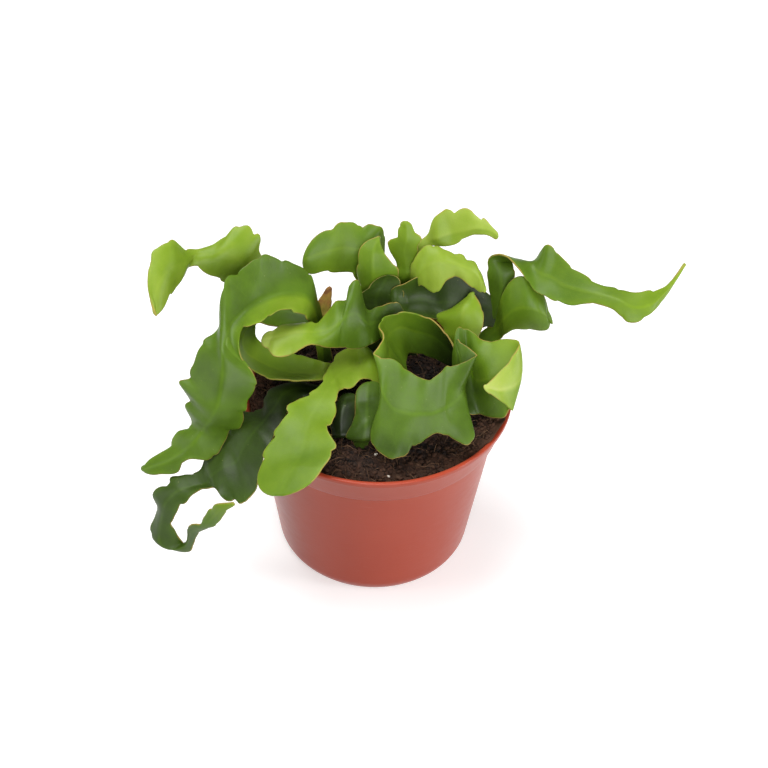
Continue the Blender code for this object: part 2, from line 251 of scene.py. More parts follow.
def lumps(x, y, size, seed):
    """Soft random heights from -1 to 1: random numbers at the corners of SQUARES x SQUARES squares
    of this size, joined across each square by the smooth step 3t^2 - 2t^3 in both directions.
    MIDDLE is the square that x = y = 0 falls in."""
    table = np.random.default_rng(seed).uniform(-1.0, 1.0, (SQUARES + 1, SQUARES + 1))
    u, v = x / size + MIDDLE, y / size + MIDDLE
    i, j = np.floor(u).astype(int), np.floor(v).astype(int)
    s, t = u - i, v - j
    s, t = s * s * (3.0 - 2.0 * s), t * t * (3.0 - 2.0 * t)
    i, j = i % SQUARES, j % SQUARES
    return ((table[i, j] * (1 - s) + table[i + 1, j] * s) * (1 - t)
            + (table[i, j + 1] * (1 - s) + table[i + 1, j + 1] * s) * t)


def copies(name, points, quads, ends, shade):
    """One object out of many copies of a closed grid: `points` holds a row of points for each
    copy, `quads` and `ends` are the faces of one, and every copy has its own shade."""
    count, each = points.shape[:2]
    jump = (np.arange(count) * each)[:, None, None]
    values = {} if shade is None else {"shade": np.repeat(shade, each)}
    return mesh_object(name, points.reshape(-1, 3), (quads + jump).reshape(-1, 4),
                       (ends + jump).reshape(-1, 3), values)


print("mesh helpers are ready")

# %% [markdown]
# ## The pot
# A nursery pot is injection moulded from one shot of plastic: a thin tapered wall, a band round
# the rim that lets pots be lifted and keeps a stack from jamming, and a rounded foot. A turned
# shape is a profile carried round an axis, so the profile holds all the design. Its corners are
# rounded first, because a moulded edge is never sharp and the light shows it.

# %% The pot's sizes, from the frame
pot_low, pot_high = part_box("pot")
POT_R = pot_high.x / MM
POT_H = pot_high.z / MM
BAND_LOW = POT_H - 15.0
BAND_LOW_R = POT_R - 4.7
BODY_R = BAND_LOW_R - 2.0
BASE_R = 43.5
BEVEL_UP = 5.5
BEVEL_IN = 3.5
WALL = 1.6
LIP = 2.0
FLOOR = 2.4
RING_R, RING_HALF, RING_DEEP = 27.0, 1.5, 0.7
print("pot: radius %.1f, height %.1f mm" % (POT_R, POT_H))

# %% A profile with rounded corners
def rounded(corners, steps=4):
    """Each corner (radius, height, r) becomes a short curve: it starts and ends r before and after
    the corner on its two edges, and is the parabola that has the corner as its middle handle."""
    points = np.array([corner[:2] for corner in corners])
    size = np.array([corner[2] for corner in corners])[1:-1, None]
    before, after = points[:-2] - points[1:-1], points[2:] - points[1:-1]
    start = points[1:-1] + before / np.linalg.norm(before, axis=1, keepdims=True) * size
    end = points[1:-1] + after / np.linalg.norm(after, axis=1, keepdims=True) * size
    t = np.linspace(0.0, 1.0, steps + 1)[None, :, None]
    curve = ((1 - t) ** 2 * start[:, None] + 2 * t * (1 - t) * points[1:-1, None]
             + t ** 2 * end[:, None])
    return np.vstack([points[:1], curve.reshape(-1, 2), points[-1:]])


def even(profile, step):
    """The same profile with extra points, so that no two neighbours are further apart than step."""
    gaps = np.linalg.norm(np.diff(profile, axis=0), axis=1)
    parts = np.maximum(np.ceil(gaps / step), 1).astype(int)
    at = np.concatenate([k + np.arange(n) / n for k, n in enumerate(parts)])
    at = np.append(at, len(profile) - 1.0)
    own = np.arange(len(profile))
    return np.column_stack([np.interp(at, own, profile[:, axis]) for axis in (0, 1)])


def turned(profile, around):
    """Grid of points: every profile point (radius, height) carried round the axis."""
    angle = np.linspace(0.0, 2.0 * np.pi, around, endpoint=False)
    radius, height = profile[:, :1], profile[:, 1:]
    return np.stack([radius * np.cos(angle), radius * np.sin(angle), height + 0.0 * angle], axis=-1)


pot_corners = [
    # the underside with its moulded ring groove, then the rounded foot
    (1.0, 0.0, 0), (RING_R - RING_HALF, 0.0, 0.2),
    (RING_R - RING_HALF + RING_DEEP, RING_DEEP, 0.2),
    (RING_R + RING_HALF - RING_DEEP, RING_DEEP, 0.2), (RING_R + RING_HALF, 0.0, 0.2),
    (BASE_R - BEVEL_IN, 0.0, 0.6), (BASE_R - 0.35 * BEVEL_IN, 0.5 * BEVEL_UP, 1.2),
    (BASE_R, BEVEL_UP, 1.4),
    # up the outside: the wall, the step under the band, the band and the rolled top edge
    (BODY_R, BAND_LOW - 0.6, 0.3), (BAND_LOW_R - 0.9, BAND_LOW - 0.2, 0.3),
    (BAND_LOW_R, BAND_LOW + 0.9, 0.5), (POT_R - 1.15, POT_H - 3.1, 0.2),
    (POT_R - 0.35, POT_H - 2.5, 0.3), (POT_R, POT_H, 0.8),
    # down the inside to the floor
    (POT_R - LIP, POT_H, 0.7), (BAND_LOW_R - LIP, BAND_LOW + 0.6, 1.0),
    (BODY_R - WALL, BAND_LOW - 2.0, 1.0), (BASE_R - WALL, FLOOR + BEVEL_UP, 2.0),
    (BASE_R - WALL - BEVEL_IN, FLOOR, 1.5), (1.0, FLOOR, 0)]
pot_grid = turned(even(rounded(pot_corners), 2.5), 256)
pot = mesh_object("nursery_pot", with_ends(pot_grid), *ring_faces(*pot_grid.shape[:2]))
print("pot surface:", pot_grid.shape[:2], "points")

# %% [markdown]
# Eight drain holes pierce the floor of the pot. A hole has to go through the floor and keep its
# own clean edge, which is what a Boolean does well: eight short rods are taken out of the pot.
# The holes stay clear of the bevel inside, and of the edges between the CAD pot's flat sides.

# %% The drain holes
HOLES = 8
HOLE_R = 3.5
HOLE_EDGE = 0.9
CAD_SIDES = 64
HOLES_R = BASE_R - WALL - BEVEL_IN - HOLE_EDGE - HOLE_R
hole_at = 2.0 * np.pi * (np.arange(HOLES) + 0.5) / HOLES + np.pi / CAD_SIDES
rod = turned(np.array([(HOLE_R, -3.0), (HOLE_R, FLOOR + 2.6)]), 40)
shift = np.column_stack([HOLES_R * np.cos(hole_at), HOLES_R * np.sin(hole_at), 0.0 * hole_at])
rods = copies("drain_rods", with_ends(rod) + shift[:, None], *ring_faces(*rod.shape[:2]), None)
pierce = pot.modifiers.new("drain holes", "BOOLEAN")
pierce.solver = "EXACT"
pierce.object = rods
cut_mesh = bpy.data.meshes.new_from_object(pot.evaluated_get(bpy.context.evaluated_depsgraph_get()))
pot.modifiers.clear()
pot.data = cut_mesh
bpy.data.objects.remove(rods)
pot.data.set_sharp_from_angle(angle=np.radians(50.0))
print("pot with holes:", len(pot.data.polygons), "faces")

# %% [markdown]
# Moulded polypropylene is a little waxy: its gloss is soft, it hazes where it has been handled,
# and the colour goes right through. The base colour barely changes, so the roughness and a very
# fine bump have to carry the surface. Scuffs and dust lie in soft patches, and the colour pales a
# little towards the rim.

# %% The pot's plastic
plastic = Finish("red_brown_plastic", {"IOR": 1.46, "Specular IOR Level": 0.2,
                                       "Coat Weight": 0.28, "Coat Roughness": 0.2})
cloudy = plastic.noise(30.0, 3.0)
grain = plastic.noise(0.9, 2.0)
handling = plastic.noise(7.0, 4.0, (1.0, 1.0, 0.35))
scratch = plastic.step(plastic.noise(2.2, 3.0, (14.0, 14.0, 0.6), 0.7), 0.66, 0.74)
height = plastic.node("SeparateXYZ", {}, {0: plastic.place()}, 2)
warm = plastic.mix(cloudy, (0.365, 0.041, 0.015), (0.425, 0.056, 0.023))
faded = plastic.mix(plastic.step(height, 20.0, 90.0) * 0.12, warm, (0.46, 0.105, 0.055))
dust = scratch * 0.12 + plastic.step(handling, 0.62, 0.85) * 0.10
dusty = plastic.mix(dust, faded, (0.50, 0.21, 0.15))
plastic.put(plastic.shader.inputs["Base Color"], dusty)
plastic.put(plastic.shader.inputs["Roughness"], 0.30 + handling * 0.16 + scratch * 0.12)
plastic.emboss(grain * 0.6 + handling * 0.4 - scratch * 0.3, 0.05)
settle(pot, "pot", plastic)
print("pot finished")

# %% [markdown]
# ## The potting mix
# The mix is peat and coir, dark and moist, with crumbs, fibres, bits of bark and a few white
# grains of perlite. The body is turned like the pot, but its top is shaken by soft noise at four
# sizes, from low mounds to grains, and it is heaped up against the rim at the front right.

# %% The soil's height, its dryness and its painted shade
SOIL_R = POT_R - LIP - 2.0
SOIL_DOWN, DOME = 5.5, 3.0                      # depth under the rim at the wall, and rise
HEAP, HEAP_AT, HEAP_WIDE = 8.0, -0.42, 0.34     # its height, and its middle and width in radians
HOLLOW = 5.0                                    # depth of the hollow that the scroll closes in
LUMPS = (0.8, 14.0), (0.7, 6.0), (0.65, 2.6), (0.45, 1.2)       # height and size of each kind

def dome(share):
    """The plain soil before any lumps; share is 0 at the axis and 1 at the wall."""
    return POT_H - SOIL_DOWN + DOME * (1.0 - share ** 2)


def spot(x, y, at, wide):
    """A soft round spot: 1 at its middle, and 1 / e at this distance from it."""
    return np.exp(-((x - at[0]) ** 2 + (y - at[1]) ** 2) / wide ** 2)


def soil_top(x, y):
    """Height of the soil: the dome, its heap and its hollow, and lumps that calm at the wall."""
    share = np.minimum(np.hypot(x, y) / (POT_R - WALL), 1.0)
    heap = HEAP * np.exp(-((np.arctan2(y, x) - HEAP_AT) / HEAP_WIDE) ** 2) * share ** 3
    rough = sum(high * lumps(x, y, size, seed) for seed, (high, size) in enumerate(LUMPS, 1))
    hollow = HOLLOW * spot(x, y, (20.0, 3.0), 10.0)
    return dome(share) + heap - hollow + rough * (1.0 - 0.4 * share ** 8)


def dryness_and_shade(x, y):
    """How pale the mix is: drier, crumbly, paler and brown at the wall; darker in the middle,
    partly moist and partly painted shade under the stems; darkest in the hollow, which is painted
    shade."""
    at_wall = np.minimum(np.hypot(x, y) / SOIL_R, 1.0) ** 8
    return 0.9 * at_wall - 0.35 - 0.5 * spot(x, y, (22.0, 8.0), 15.0)


print("plain soil at the axis %.1f and at the wall %.1f mm" % (dome(0.0), dome(1.0)))

# %% [markdown]
# The body is one closed surface: a side that follows the inside of the pot a little away from it,
# and a top of a hundred rings whose heights come from the function above. Where the heap stands
# against the wall its rings are drawn in, so that no soil comes through the plastic.

# %% The body of the soil
AROUND = 400
PLAY = 0.3                                      # gap between the mix and the pot
side = np.array([(1.0, FLOOR + PLAY), (BASE_R - WALL - BEVEL_IN - PLAY, FLOOR + PLAY),
                 (BASE_R - WALL - PLAY, FLOOR + BEVEL_UP), (BODY_R - WALL - PLAY, BAND_LOW - 2.0),
                 (BAND_LOW_R - LIP - PLAY, BAND_LOW + 0.6), (SOIL_R - 0.2, POT_H - 6.5)])
body = turned(even(side, 6.0), AROUND)
inward = np.linspace(POT_R - 0.7, 0.5, 100)
top = turned(np.column_stack([inward, 0.0 * inward]), AROUND)
top[..., 2] = soil_top(top[..., 0], top[..., 1])

# the top may reach the wall at its own height, and the middle of the lip where it is over the rim
below = np.clip((POT_H - top[..., 2]) / (POT_H - BAND_LOW), 0.0, 1.0)
above = np.clip(top[..., 2] - POT_H - 0.2, 0.0, 1.0)
room = POT_R - LIP - PLAY / 2.0 - (POT_R - BAND_LOW_R) * below + (LIP - 0.6) * above
top[..., :2] *= np.minimum(1.0, room / np.hypot(top[..., 0], top[..., 1]))[..., None]
soil_grid = np.concatenate([body, top])
soil_points = with_ends(soil_grid)
# paler at the wall, and darker in the middle and the hollow: partly painted shade
soil_shade = 0.5 + 0.5 * lumps(*soil_points[:, :2].T, 3.5, 5) + dryness_and_shade(*soil_points[:, :2].T)
mix = mesh_object("potting_mix", soil_points, *ring_faces(*soil_grid.shape[:2]),
                  {"shade": soil_shade})
print("soil surface:", soil_grid.shape[:2], "points")

# %% [markdown]
# Crumbs, chips, grains and fibres are scattered on top. One small lump of 30 faces is stretched,
# turned and placed hundreds of times with one array sum. Each copy also gets its own shade, a
# number at its points that the finish reads.

# %% Scattering small lumps
chance = np.random.default_rng(11)
LUMP_ROWS, LUMP_RING = 4, 6
SITS = 0.3                                      # a lump's middle is this share of its height up

def anywhere(count, spread):
    """Random distances from the axis that fill a disc evenly, as the root of an even number."""
    return spread * np.sqrt(chance.uniform(0.0, 1.0, count))


def scatter(name, count, radii, flat=0.7, shades=(0.0, 1.0)):
    """`count` lumps: a jittered ball of 6 x 4 points and two poles, stretched, tilted about X,
    turned about Z and set on the soil at random places of a disc."""
    far = anywhere(count, SOIL_R + 1.0)
    turn, spin, tilt = chance.uniform(0.0, 2.0 * np.pi, (3, count))
    x, y = far * np.cos(turn), far * np.sin(turn)
    radius = chance.uniform(*radii, count)
    down = np.linspace(0.18, 0.82, LUMP_ROWS)[:, None] * np.pi
    about = np.arange(LUMP_RING) * 2.0 * np.pi / LUMP_RING
    ball = np.stack([np.sin(down) * np.cos(about), np.sin(down) * np.sin(about),
                     np.cos(down) + 0.0 * about], -1)
    shape = with_ends(ball)
    shape[-2:] = (0.0, 0.0, 1.0), (0.0, 0.0, -1.0)
    shape = shape * chance.uniform(0.72, 1.25, (count, len(shape), 1))
    stretch = np.stack([chance.uniform(0.7, 1.5, count), chance.uniform(0.6, 1.1, count),
                        np.full(count, flat)], -1)
    along, over, high = np.moveaxis(shape * stretch[:, None] * radius[:, None, None], -1, 0)
    tilt = 0.35 * np.sin(tilt)[:, None]
    across = over * np.cos(tilt) - high * np.sin(tilt)
    upward = over * np.sin(tilt) + high * np.cos(tilt)
    cos, sin = np.cos(spin)[:, None], np.sin(spin)[:, None]
    level = soil_top(x, y) + radius * flat * SITS
    points = np.stack([x[:, None] + along * cos - across * sin,
                       y[:, None] + along * sin + across * cos, level[:, None] + upward], -1)
    # each bit takes the soil's pale wall and its painted shade in the middle and the hollow
    shade = chance.uniform(*shades, count) + dryness_and_shade(x, y)
    return copies(name, points, *ring_faces(LUMP_ROWS, LUMP_RING), shade)


crumbs = scatter("soil_crumbs", 4100, (0.35, 1.15))
chips = scatter("bark_chips", 120, (0.8, 1.7), flat=0.35, shades=(0.1, 0.9))
perlite = scatter("perlite_grains", 12, (0.6, 1.1), flat=0.9, shades=(0.4, 1.0))
print("crumbs, chips and grains:", *(len(o.data.polygons) for o in (crumbs, chips, perlite)))

# %% [markdown]
# Coir is the fibre of a coconut's husk, and it lies in the mix as short bent hairs. A particle
# system could strew them, but thin tubes from one array sum are a plain mesh, the same each run.

# %% Coir fibres: thin tubes bent in an arc
FIBRE_ROWS, FIBRE_RING = 8, 4

def fibres(name, count):
    """Each fibre lies on the soil: its line is start + heading * s + sideways * bend * s^2, lifted
    by an arch 4 s (1 - s), and a square carried along it, thinner at both ends, gives its body."""
    far = anywhere(count, SOIL_R - 0.5)
    turn, head = chance.uniform(0.0, 2.0 * np.pi, (2, count))
    length, bend = chance.uniform(2.0, 9.0, count), chance.uniform(-0.5, 0.5, count)
    s = np.linspace(0.0, 1.0, FIBRE_ROWS)
    forward = np.stack([np.cos(head), np.sin(head)], -1)
    sideways = np.stack([-np.sin(head), np.cos(head)], -1)
    start = np.stack([far * np.cos(turn), far * np.sin(turn)], -1)
    line = (start[:, None] + forward[:, None] * (length[:, None] * (s - 0.5))[..., None]
            + sideways[:, None] * (length * bend)[:, None, None] * (s ** 2)[None, :, None])
    away = np.maximum(np.hypot(*np.moveaxis(line, -1, 0)), 1.0)
    line = line * np.minimum(1.0, (SOIL_R + 1.2) / away)[..., None]
    lift = chance.uniform(0.2, 1.6, count)[:, None] * 4.0 * s * (1.0 - s) + 0.25
    level = soil_top(line[..., 0], line[..., 1]) + lift
    thick = chance.uniform(0.08, 0.18, count)[:, None] * (1.0 - 0.5 * np.abs(2.0 * s - 1.0))
    corner = np.arange(FIBRE_RING) * 2.0 * np.pi / FIBRE_RING
    out, rise = thick[..., None] * np.cos(corner), thick[..., None] * np.sin(corner)
    points = np.stack([line[..., 0, None] + sideways[:, None, None, 0] * out,
                       line[..., 1, None] + sideways[:, None, None, 1] * out,
                       level[..., None] + rise], -1)
    points = points.reshape(count, FIBRE_ROWS * FIBRE_RING, 3)
    middles = [points[:, :FIBRE_RING].mean(1), points[:, -FIBRE_RING:].mean(1)]
    points = np.concatenate([points, np.stack(middles, 1)], 1)
    shade = chance.uniform(0.0, 1.0, count)
    return copies(name, points, *ring_faces(FIBRE_ROWS, FIBRE_RING), shade)


coir = fibres("coir_fibres", 800)
print("fibres:", len(coir.data.polygons), "faces")

# %% [markdown]
# All the bits share one kind of finish: its colour follows each bit's own shade, so the top reads
# as one damp, crumbly matter with paler straw and a few white grains in it.

# %% Finishes of the soil, the bits in it and the fibres
def earth(name, dark, light, rough, depth):
    """Crumbly matter: its colour runs from dark to light with each bit's shade and fine noise."""
    made = Finish(name, {"Specular IOR Level": 0.3})
    fine = made.noise(0.7, 4.0)
    patch = made.noise(5.0, 3.0)
    share = made.value("shade") * 0.55 + (fine - 0.5) * 0.9 + (patch - 0.5) * 0.7 + 0.15
    made.put(made.shader.inputs["Base Color"],
             made.ramp(share, [(0.0, dark), (0.75, light), (1.0, light)]))
    made.put(made.shader.inputs["Roughness"], rough + (patch - 0.5) * 0.3)
    made.emboss(fine * 0.7 + patch * 0.3, depth)
    return made


peat = earth("moist_peat", (0.005, 0.0022, 0.0014), (0.070, 0.031, 0.016), 0.8, 0.6)
bark = earth("bark", (0.015, 0.007, 0.004), (0.085, 0.042, 0.022), 0.75, 0.4)
straw = earth("coir_straw", (0.025, 0.011, 0.006), (0.19, 0.105, 0.055), 0.7, 0.1)
white = earth("perlite", (0.45, 0.38, 0.30), (0.75, 0.70, 0.62), 0.8, 0.3)
for piece, finish in zip((mix, crumbs, chips, coir, perlite), (peat, peat, bark, straw, white)):
    settle(piece, "root_ball", finish)
print("potting mix finished")

# %% [markdown]
# ## One flat stem
# A stem is laid between its two margins and over its midrib. Each of the three is a smooth curve
# through a few stations, and the same parameter runs along all of them, so a row of the surface
# goes from one margin over the midrib to the other. How sharply it bends there says how old the
# stem is: a young one is cupped like a spoon, and an old one is creased like folded paper. It
# has a thickness that thins towards a round edge, and its margins are notched like a blunt saw.

# %% Curves through stations
LEAN, TURN, BEHIND = np.radians(1.9), np.radians(0.6), 1.3      # how the plant sits in its pot
STEP = 0.6                                      # length of a row of faces
FOOT_HALF, FOOT_DEEP, COLLAR = 3.4, 7.0, 2.5    # a foot: half width, depth, height over the soil
FINE = 40                                       # trial points for each station of a curve

def catmull_rom(points, at):
    """The smooth curve through the points: on each stretch a cubic whose ends have the slope
    of the line between the two neighbours."""
    padded = np.concatenate([2.0 * points[:1] - points[1:2], points,
                             2.0 * points[-1:] - points[-2:-1]])
    start = np.clip(at.astype(int), 0, len(points) - 2)
    t = (at - start).reshape(-1, *[1] * (points.ndim - 1))
    p0, p1, p2, p3 = (padded[start + k] for k in range(4))
    return 0.5 * (2.0 * p1 + (p2 - p0) * t + (2.0 * p0 - 5.0 * p1 + 4.0 * p2 - p3) * t ** 2
                  + (3.0 * p1 - p0 - 3.0 * p2 + p3) * t ** 3)


def leaning(points):
    """Points over the rim (x, y, height above it): turned about the pot's axis by TURN, then
    leaned to the left by LEAN about the middle of the mouth, then moved back by BEHIND."""
    x, y, z = np.moveaxis(points, -1, 0)
    x, y = x * np.cos(TURN) - y * np.sin(TURN), x * np.sin(TURN) + y * np.cos(TURN)
    return np.stack([x * np.cos(LEAN) - z * np.sin(LEAN), y + BEHIND,
                     POT_H + x * np.sin(LEAN) + z * np.cos(LEAN)], -1)


def unit(vectors):
    return vectors / np.maximum(np.linalg.norm(vectors, axis=-1, keepdims=True), 1e-9)


def travelled(points):
    """Distance along a line of points from its start to each of them."""
    return np.concatenate([[0.0], np.cumsum(np.linalg.norm(np.diff(points, axis=0), axis=1))])


def three(station):
    """Margin, midrib, margin: a station that gives only its margins has its midrib halfway."""
    return station if len(station) == 3 else (station[0], np.mean(station, axis=0), station[1])


def rails(foot, stations):
    """Margin, midrib and margin from the foot to the tip in steps of STEP along the middle, and
    the station number at each step (0 is the first station; the foot and collar come before)."""
    x, y, turn = foot
    ground = dome(np.hypot(x, y) / (POT_R - WALL))
    half = FOOT_HALF * np.array([np.cos(np.radians(turn)), np.sin(np.radians(turn)), 0.0])
    upright = [[(x, y, level) - half, (x, y, level), (x, y, level) + half]
               for level in (ground - FOOT_DEEP, ground + COLLAR)]
    points = np.concatenate([upright, leaning(np.array([three(s) for s in stations], dtype=float))])
    fine = np.linspace(0.0, len(points) - 1.0, FINE * len(points))
    far = travelled(catmull_rom(points, fine).mean(1))
    at = np.interp(np.linspace(0.0, far[-1], int(far[-1] / STEP)), far, fine)
    curves = catmull_rom(points, at)
    return curves[:, 0], curves[:, 1], curves[:, 2], at - len(upright)


print("curves are ready")

# %% [markdown]
# The margin is notched where buds could grow, and each notch is steep on one side and slow on the
# other. A mask of transparency could draw it, but a real step in the surface also shows in the
# outline and in the shadow.

# %% Notches along a margin

def notched(far, notches):
    """How far a margin steps in (mm): at each notch it drops sharply just before it and comes
    back slowly after it, and it swells a little ahead of the drop, like a blunt saw tooth. A
    notch with a negative depth faces the other way."""
    place, depth = np.array(notches, dtype=float).reshape(-1, 2).T
    gap = (far[:, None] - place) * np.sign(depth)
    dip = np.where(gap < 0.0, np.clip(1.0 + gap / 1.2, 0.0, 1.0),
                   np.clip(1.0 - gap / 5.0, 0.0, 1.0) ** 1.5)
    swell = np.exp(-((gap + 3.0) / 2.0) ** 2)
    return (np.abs(depth) * (0.5 * swell - dip)).sum(1)


MOST = 20                                       # notches drawn for a margin, more than any needs
BROAD = 14.0                                    # width of a stem that has notches and waves in full

def own_notches(far, width, pick, depth):
    """Notches at random along a margin: every 10 to 16 mm, and shallow where it is narrow."""
    places = BROAD + np.cumsum(pick.uniform(10.0, 16.0, MOST))
    places = places[places < far[-1] - 3.0]
    return [(p, d * np.clip(w / BROAD, 0.2, 1.0)) for p, d, w in
            zip(places, depth * pick.uniform(0.6, 1.2, MOST), np.interp(places, far, width))]


print("notches are ready")

# %% [markdown]
# The blade adds all of this up row by row: the chord between the margins, the notches, the bend
# at the midrib, the thickness, the ripples, and a few extra rows for a rounded tip.

# %% The blade: one closed surface from foot to tip
FACES_ACROSS, TIP_ROWS = 24, 7
THICK, EDGE = 1.4, 0.8                          # thickness in the middle and at the margins
STOUT = 0.9                                     # how much thicker it is at its foot, as a share
RIB_DEEP, RIB_HALF = 0.16, 0.9                  # the midrib's groove
WAVE, WAVES = 0.12, (3.4, 2.9)                  # ripples: height, and length / 2 pi on each side
SWELLING, SWELLING_SIZE = 0.15, 7.0             # slow bumps over the whole face
FREE = 12.0                                     # all of these start over this length above the foot

def blade(name, foot, stations, seed, cup=0.0, thick=THICK, fold=1.6, tooth=0.8, teeth=()):
    """The closed surface of a stem: rings of points (the upper face from margin to margin and the
    lower face back) in rows from the foot to the tip. With a running from -1 at one margin to 1 at
    the other, the row is the straight chord plus (midrib - middle of the chord) (1 - |a|^fold).
    `tooth` is the depth of the random notches, and `teeth` adds more: (side, station, depth)."""
    pick = np.random.default_rng(seed)
    left, middle, right, station = rails(foot, stations)
    rib_off = middle - (left + right) / 2.0
    outwards = []
    for side, (edge, other) in enumerate(((left, right), (right, left))):
        far, width = travelled(edge), np.linalg.norm(edge - other, axis=1)
        cuts = own_notches(far, width, pick, tooth)
        cuts += [(np.interp(at, station, far), depth) for on, at, depth in teeth if on == side]
        outwards.append(unit(edge - other) * notched(far, cuts)[:, None])
    far = travelled((left + right) / 2.0)
    heading = unit(np.gradient((left + right) / 2.0, axis=0))
    facing = unit(np.cross(heading, right - left))
    kernel = np.hanning(9)[1:-1] / np.hanning(9).sum()
    facing = unit(np.stack([np.convolve(np.pad(axis, 3, "edge"), kernel, "valid")
                            for axis in facing.T], -1))

    # the rounded tip: half an ellipse of extra rows beyond the last station
    turn = np.radians(np.linspace(0.0, 90.0, TIP_ROWS + 2)[1:-1])
    reach = np.linalg.norm(right[-1] - left[-1]) / 2.0
    ahead = heading[-1] * reach * 0.9 * np.sin(turn)[:, None]
    inwards = (right[-1] - left[-1]) / 2.0 * (1.0 - np.cos(turn))[:, None]
    left = np.vstack([left, left[-1] + ahead + inwards])
    right = np.vstack([right, right[-1] + ahead - inwards])
    rib_off = np.vstack([rib_off, rib_off[-1] * np.cos(turn)[:, None]])
    outwards = [np.vstack([out, out[-1] * np.cos(turn)[:, None]]) for out in outwards]
    facing = np.vstack([facing, np.repeat(facing[-1:], len(turn), 0)])
    far = np.append(far, far[-1] + reach * 0.9 * np.sin(turn))
    close = np.append(np.ones(len(far) - len(turn)), np.sqrt(np.cos(turn)))[:, None]

    grown = far / far[-1]
    share = (1.0 - np.cos(np.linspace(0.0, np.pi, FACES_ACROSS + 1))) / 2.0
    share = np.concatenate([share, share[-2:0:-1]])
    face = np.concatenate([np.ones(FACES_ACROSS + 1), -np.ones(FACES_ACROSS - 1)])
    a = 2.0 * share - 1.0
    width = np.linalg.norm(right - left, axis=1)[:, None]
    to_margin = (1.0 - np.abs(a)) * width / 2.0
    to_rib = np.abs(a) * width / 2.0

    # thickness: a round edge, swelling towards the middle, with a groove along the midrib
    edge_r = np.minimum(EDGE / 2.0, width / 4.0)
    rounding = np.sqrt(1.0 - (1.0 - np.clip(to_margin / edge_r, 0.0, 1.0)) ** 2)
    stout = 1.0 + STOUT * np.exp(-((far - FOOT_DEEP) / 14.0) ** 2)[:, None]
    swell = (thick * stout / 2.0 - edge_r) * (1.0 - np.abs(a) ** 2.5)
    rib = RIB_DEEP * np.exp(-(to_rib / RIB_HALF) ** 2) * np.clip(width / 10.0, 0.0, 1.0)
    lift = face * (edge_r * rounding + swell * rounding) * close - rib * close

    # cupping along the midrib, ripples that grow towards the margins, and slow swellings
    across = np.abs(a)
    rise = np.clip((far - FOOT_DEEP) / FREE, 0.0, 1.0)[:, None]
    lift = lift + cup * rise * (1.0 - across ** fold)
    phase = pick.uniform(0.0, 2.0 * np.pi, 2)
    first, second = (np.sin(far[:, None] / size + start) for size, start in zip(WAVES, phase))
    ripple = np.where(a < 0.0, first, second)
    lift = lift + WAVE * rise * ripple * across ** 3 * np.clip(width / BROAD, 0.0, 1.0)
    bumps = lumps(a * width / 2.0, far[:, None] + 0.0 * a, SWELLING_SIZE, seed + 50)
    lift = lift + SWELLING * rise * bumps

    chord = left[:, None] * (1.0 - share)[None, :, None] + right[:, None] * share[None, :, None]
    near = across ** 5
    chord += (outwards[0][:, None] * np.where(a < 0.0, near, 0.0)[None, :, None]
              + outwards[1][:, None] * np.where(a > 0.0, near, 0.0)[None, :, None])
    grid = (chord + rib_off[:, None] * (1.0 - across ** fold)[None, :, None]
            + facing[:, None] * lift[..., None])
    flat = np.zeros((len(far), 1))
    numbers = {"to_margin": to_margin, "to_rib": to_rib, "along": far[:, None] + 0.0 * a,
               "grown": grown[:, None] + 0.0 * a, "face": flat + face, "side": flat + a}
    values = {label: np.append(field.ravel(), [field[0].mean(), field[-1].mean()])
              for label, field in numbers.items()}
    return mesh_object(name, with_ends(grid), *ring_faces(*grid.shape[:2]), values)


print("the blade is ready")

# %% [markdown]
# ## The stems' skin
# The skin is smooth and a little waxy. Old stems are a deep grey-green, the youngest are almost
# yellow, and every stem has a thin corky line along its margin and a paler midrib. The finish
# reads the numbers that the surface carries: millimetres from the margin, from the rib and
# along the stem, so the line stays the same width wherever the stem bends or narrows.

# %% A skin for each age
GREENS = [(0.0, (0.010, 0.018, 0.003)), (0.25, (0.042, 0.082, 0.007)),
          (0.45, (0.095, 0.180, 0.010)), (0.65, (0.175, 0.285, 0.014)),
          (0.82, (0.275, 0.385, 0.040)), (1.0, (0.410, 0.490, 0.105))]

VEIN_GAP = 13.0

def skin(name, rough, rim_colour, rim_width, rib_light, speckle):
    """Stem skin: the shade runs through GREENS with age, place and soft noise; on top lie a paler
    midrib, faint side veins, dots, and the corky line along the margin."""
    made = Finish(name, {"IOR": 1.45, "Specular IOR Level": 0.30, "Subsurface Weight": 0.10,
                         "Subsurface Radius": (0.6, 1.0, 0.15), "Subsurface Scale": 0.0022})
    to_margin, to_rib, along = made.value("to_margin"), made.value("to_rib"), made.value("along")
    cloud, patch, fine = made.noise(19.0, 2.0), made.noise(5.0, 3.0), made.noise(0.55, 2.0)
    shade = made.value("tone") + (cloud - 0.5) * 0.30 + (patch - 0.5) * 0.10 + (fine - 0.5) * 0.03
    rib = made.step(to_rib, 1.3, 0.2)
    stripe = made.math("SINE", (along - to_rib * 0.75) * (np.pi / VEIN_GAP))
    vein = made.step(made.math("ABSOLUTE", stripe), 0.10, 0.0)
    flush = made.step(to_margin, 3.5, 0.3)
    shade = shade + rib * rib_light + vein * made.step(to_rib, 1.0, 3.0) * 0.015 + flush * 0.05
    green = made.ramp(shade, GREENS)
    dots = made.spots(4.5, 0.32) * speckle
    green = made.mix(dots, green, (0.30, 0.33, 0.12))
    ragged = to_margin + (made.noise(2.4, 3.0) - 0.5) * rim_width * 1.3
    line = made.step(ragged, rim_width, rim_width * 0.45) * made.step(made.noise(11.0), 0.34, 0.48)
    colour = made.mix(line * 0.75, green, made.mix(made.noise(6.0), rim_colour, (0.40, 0.33, 0.08)))
    made.put(made.shader.inputs["Base Color"], colour)
    made.put(made.shader.inputs["Roughness"],
             rough + (cloud - 0.5) * 0.12 + (patch - 0.5) * 0.10 + line * 0.2)
    made.emboss(fine * 0.25 + patch * 0.6 + made.noise(1.6) * 0.3 + line * 0.3, 0.13)
    return made


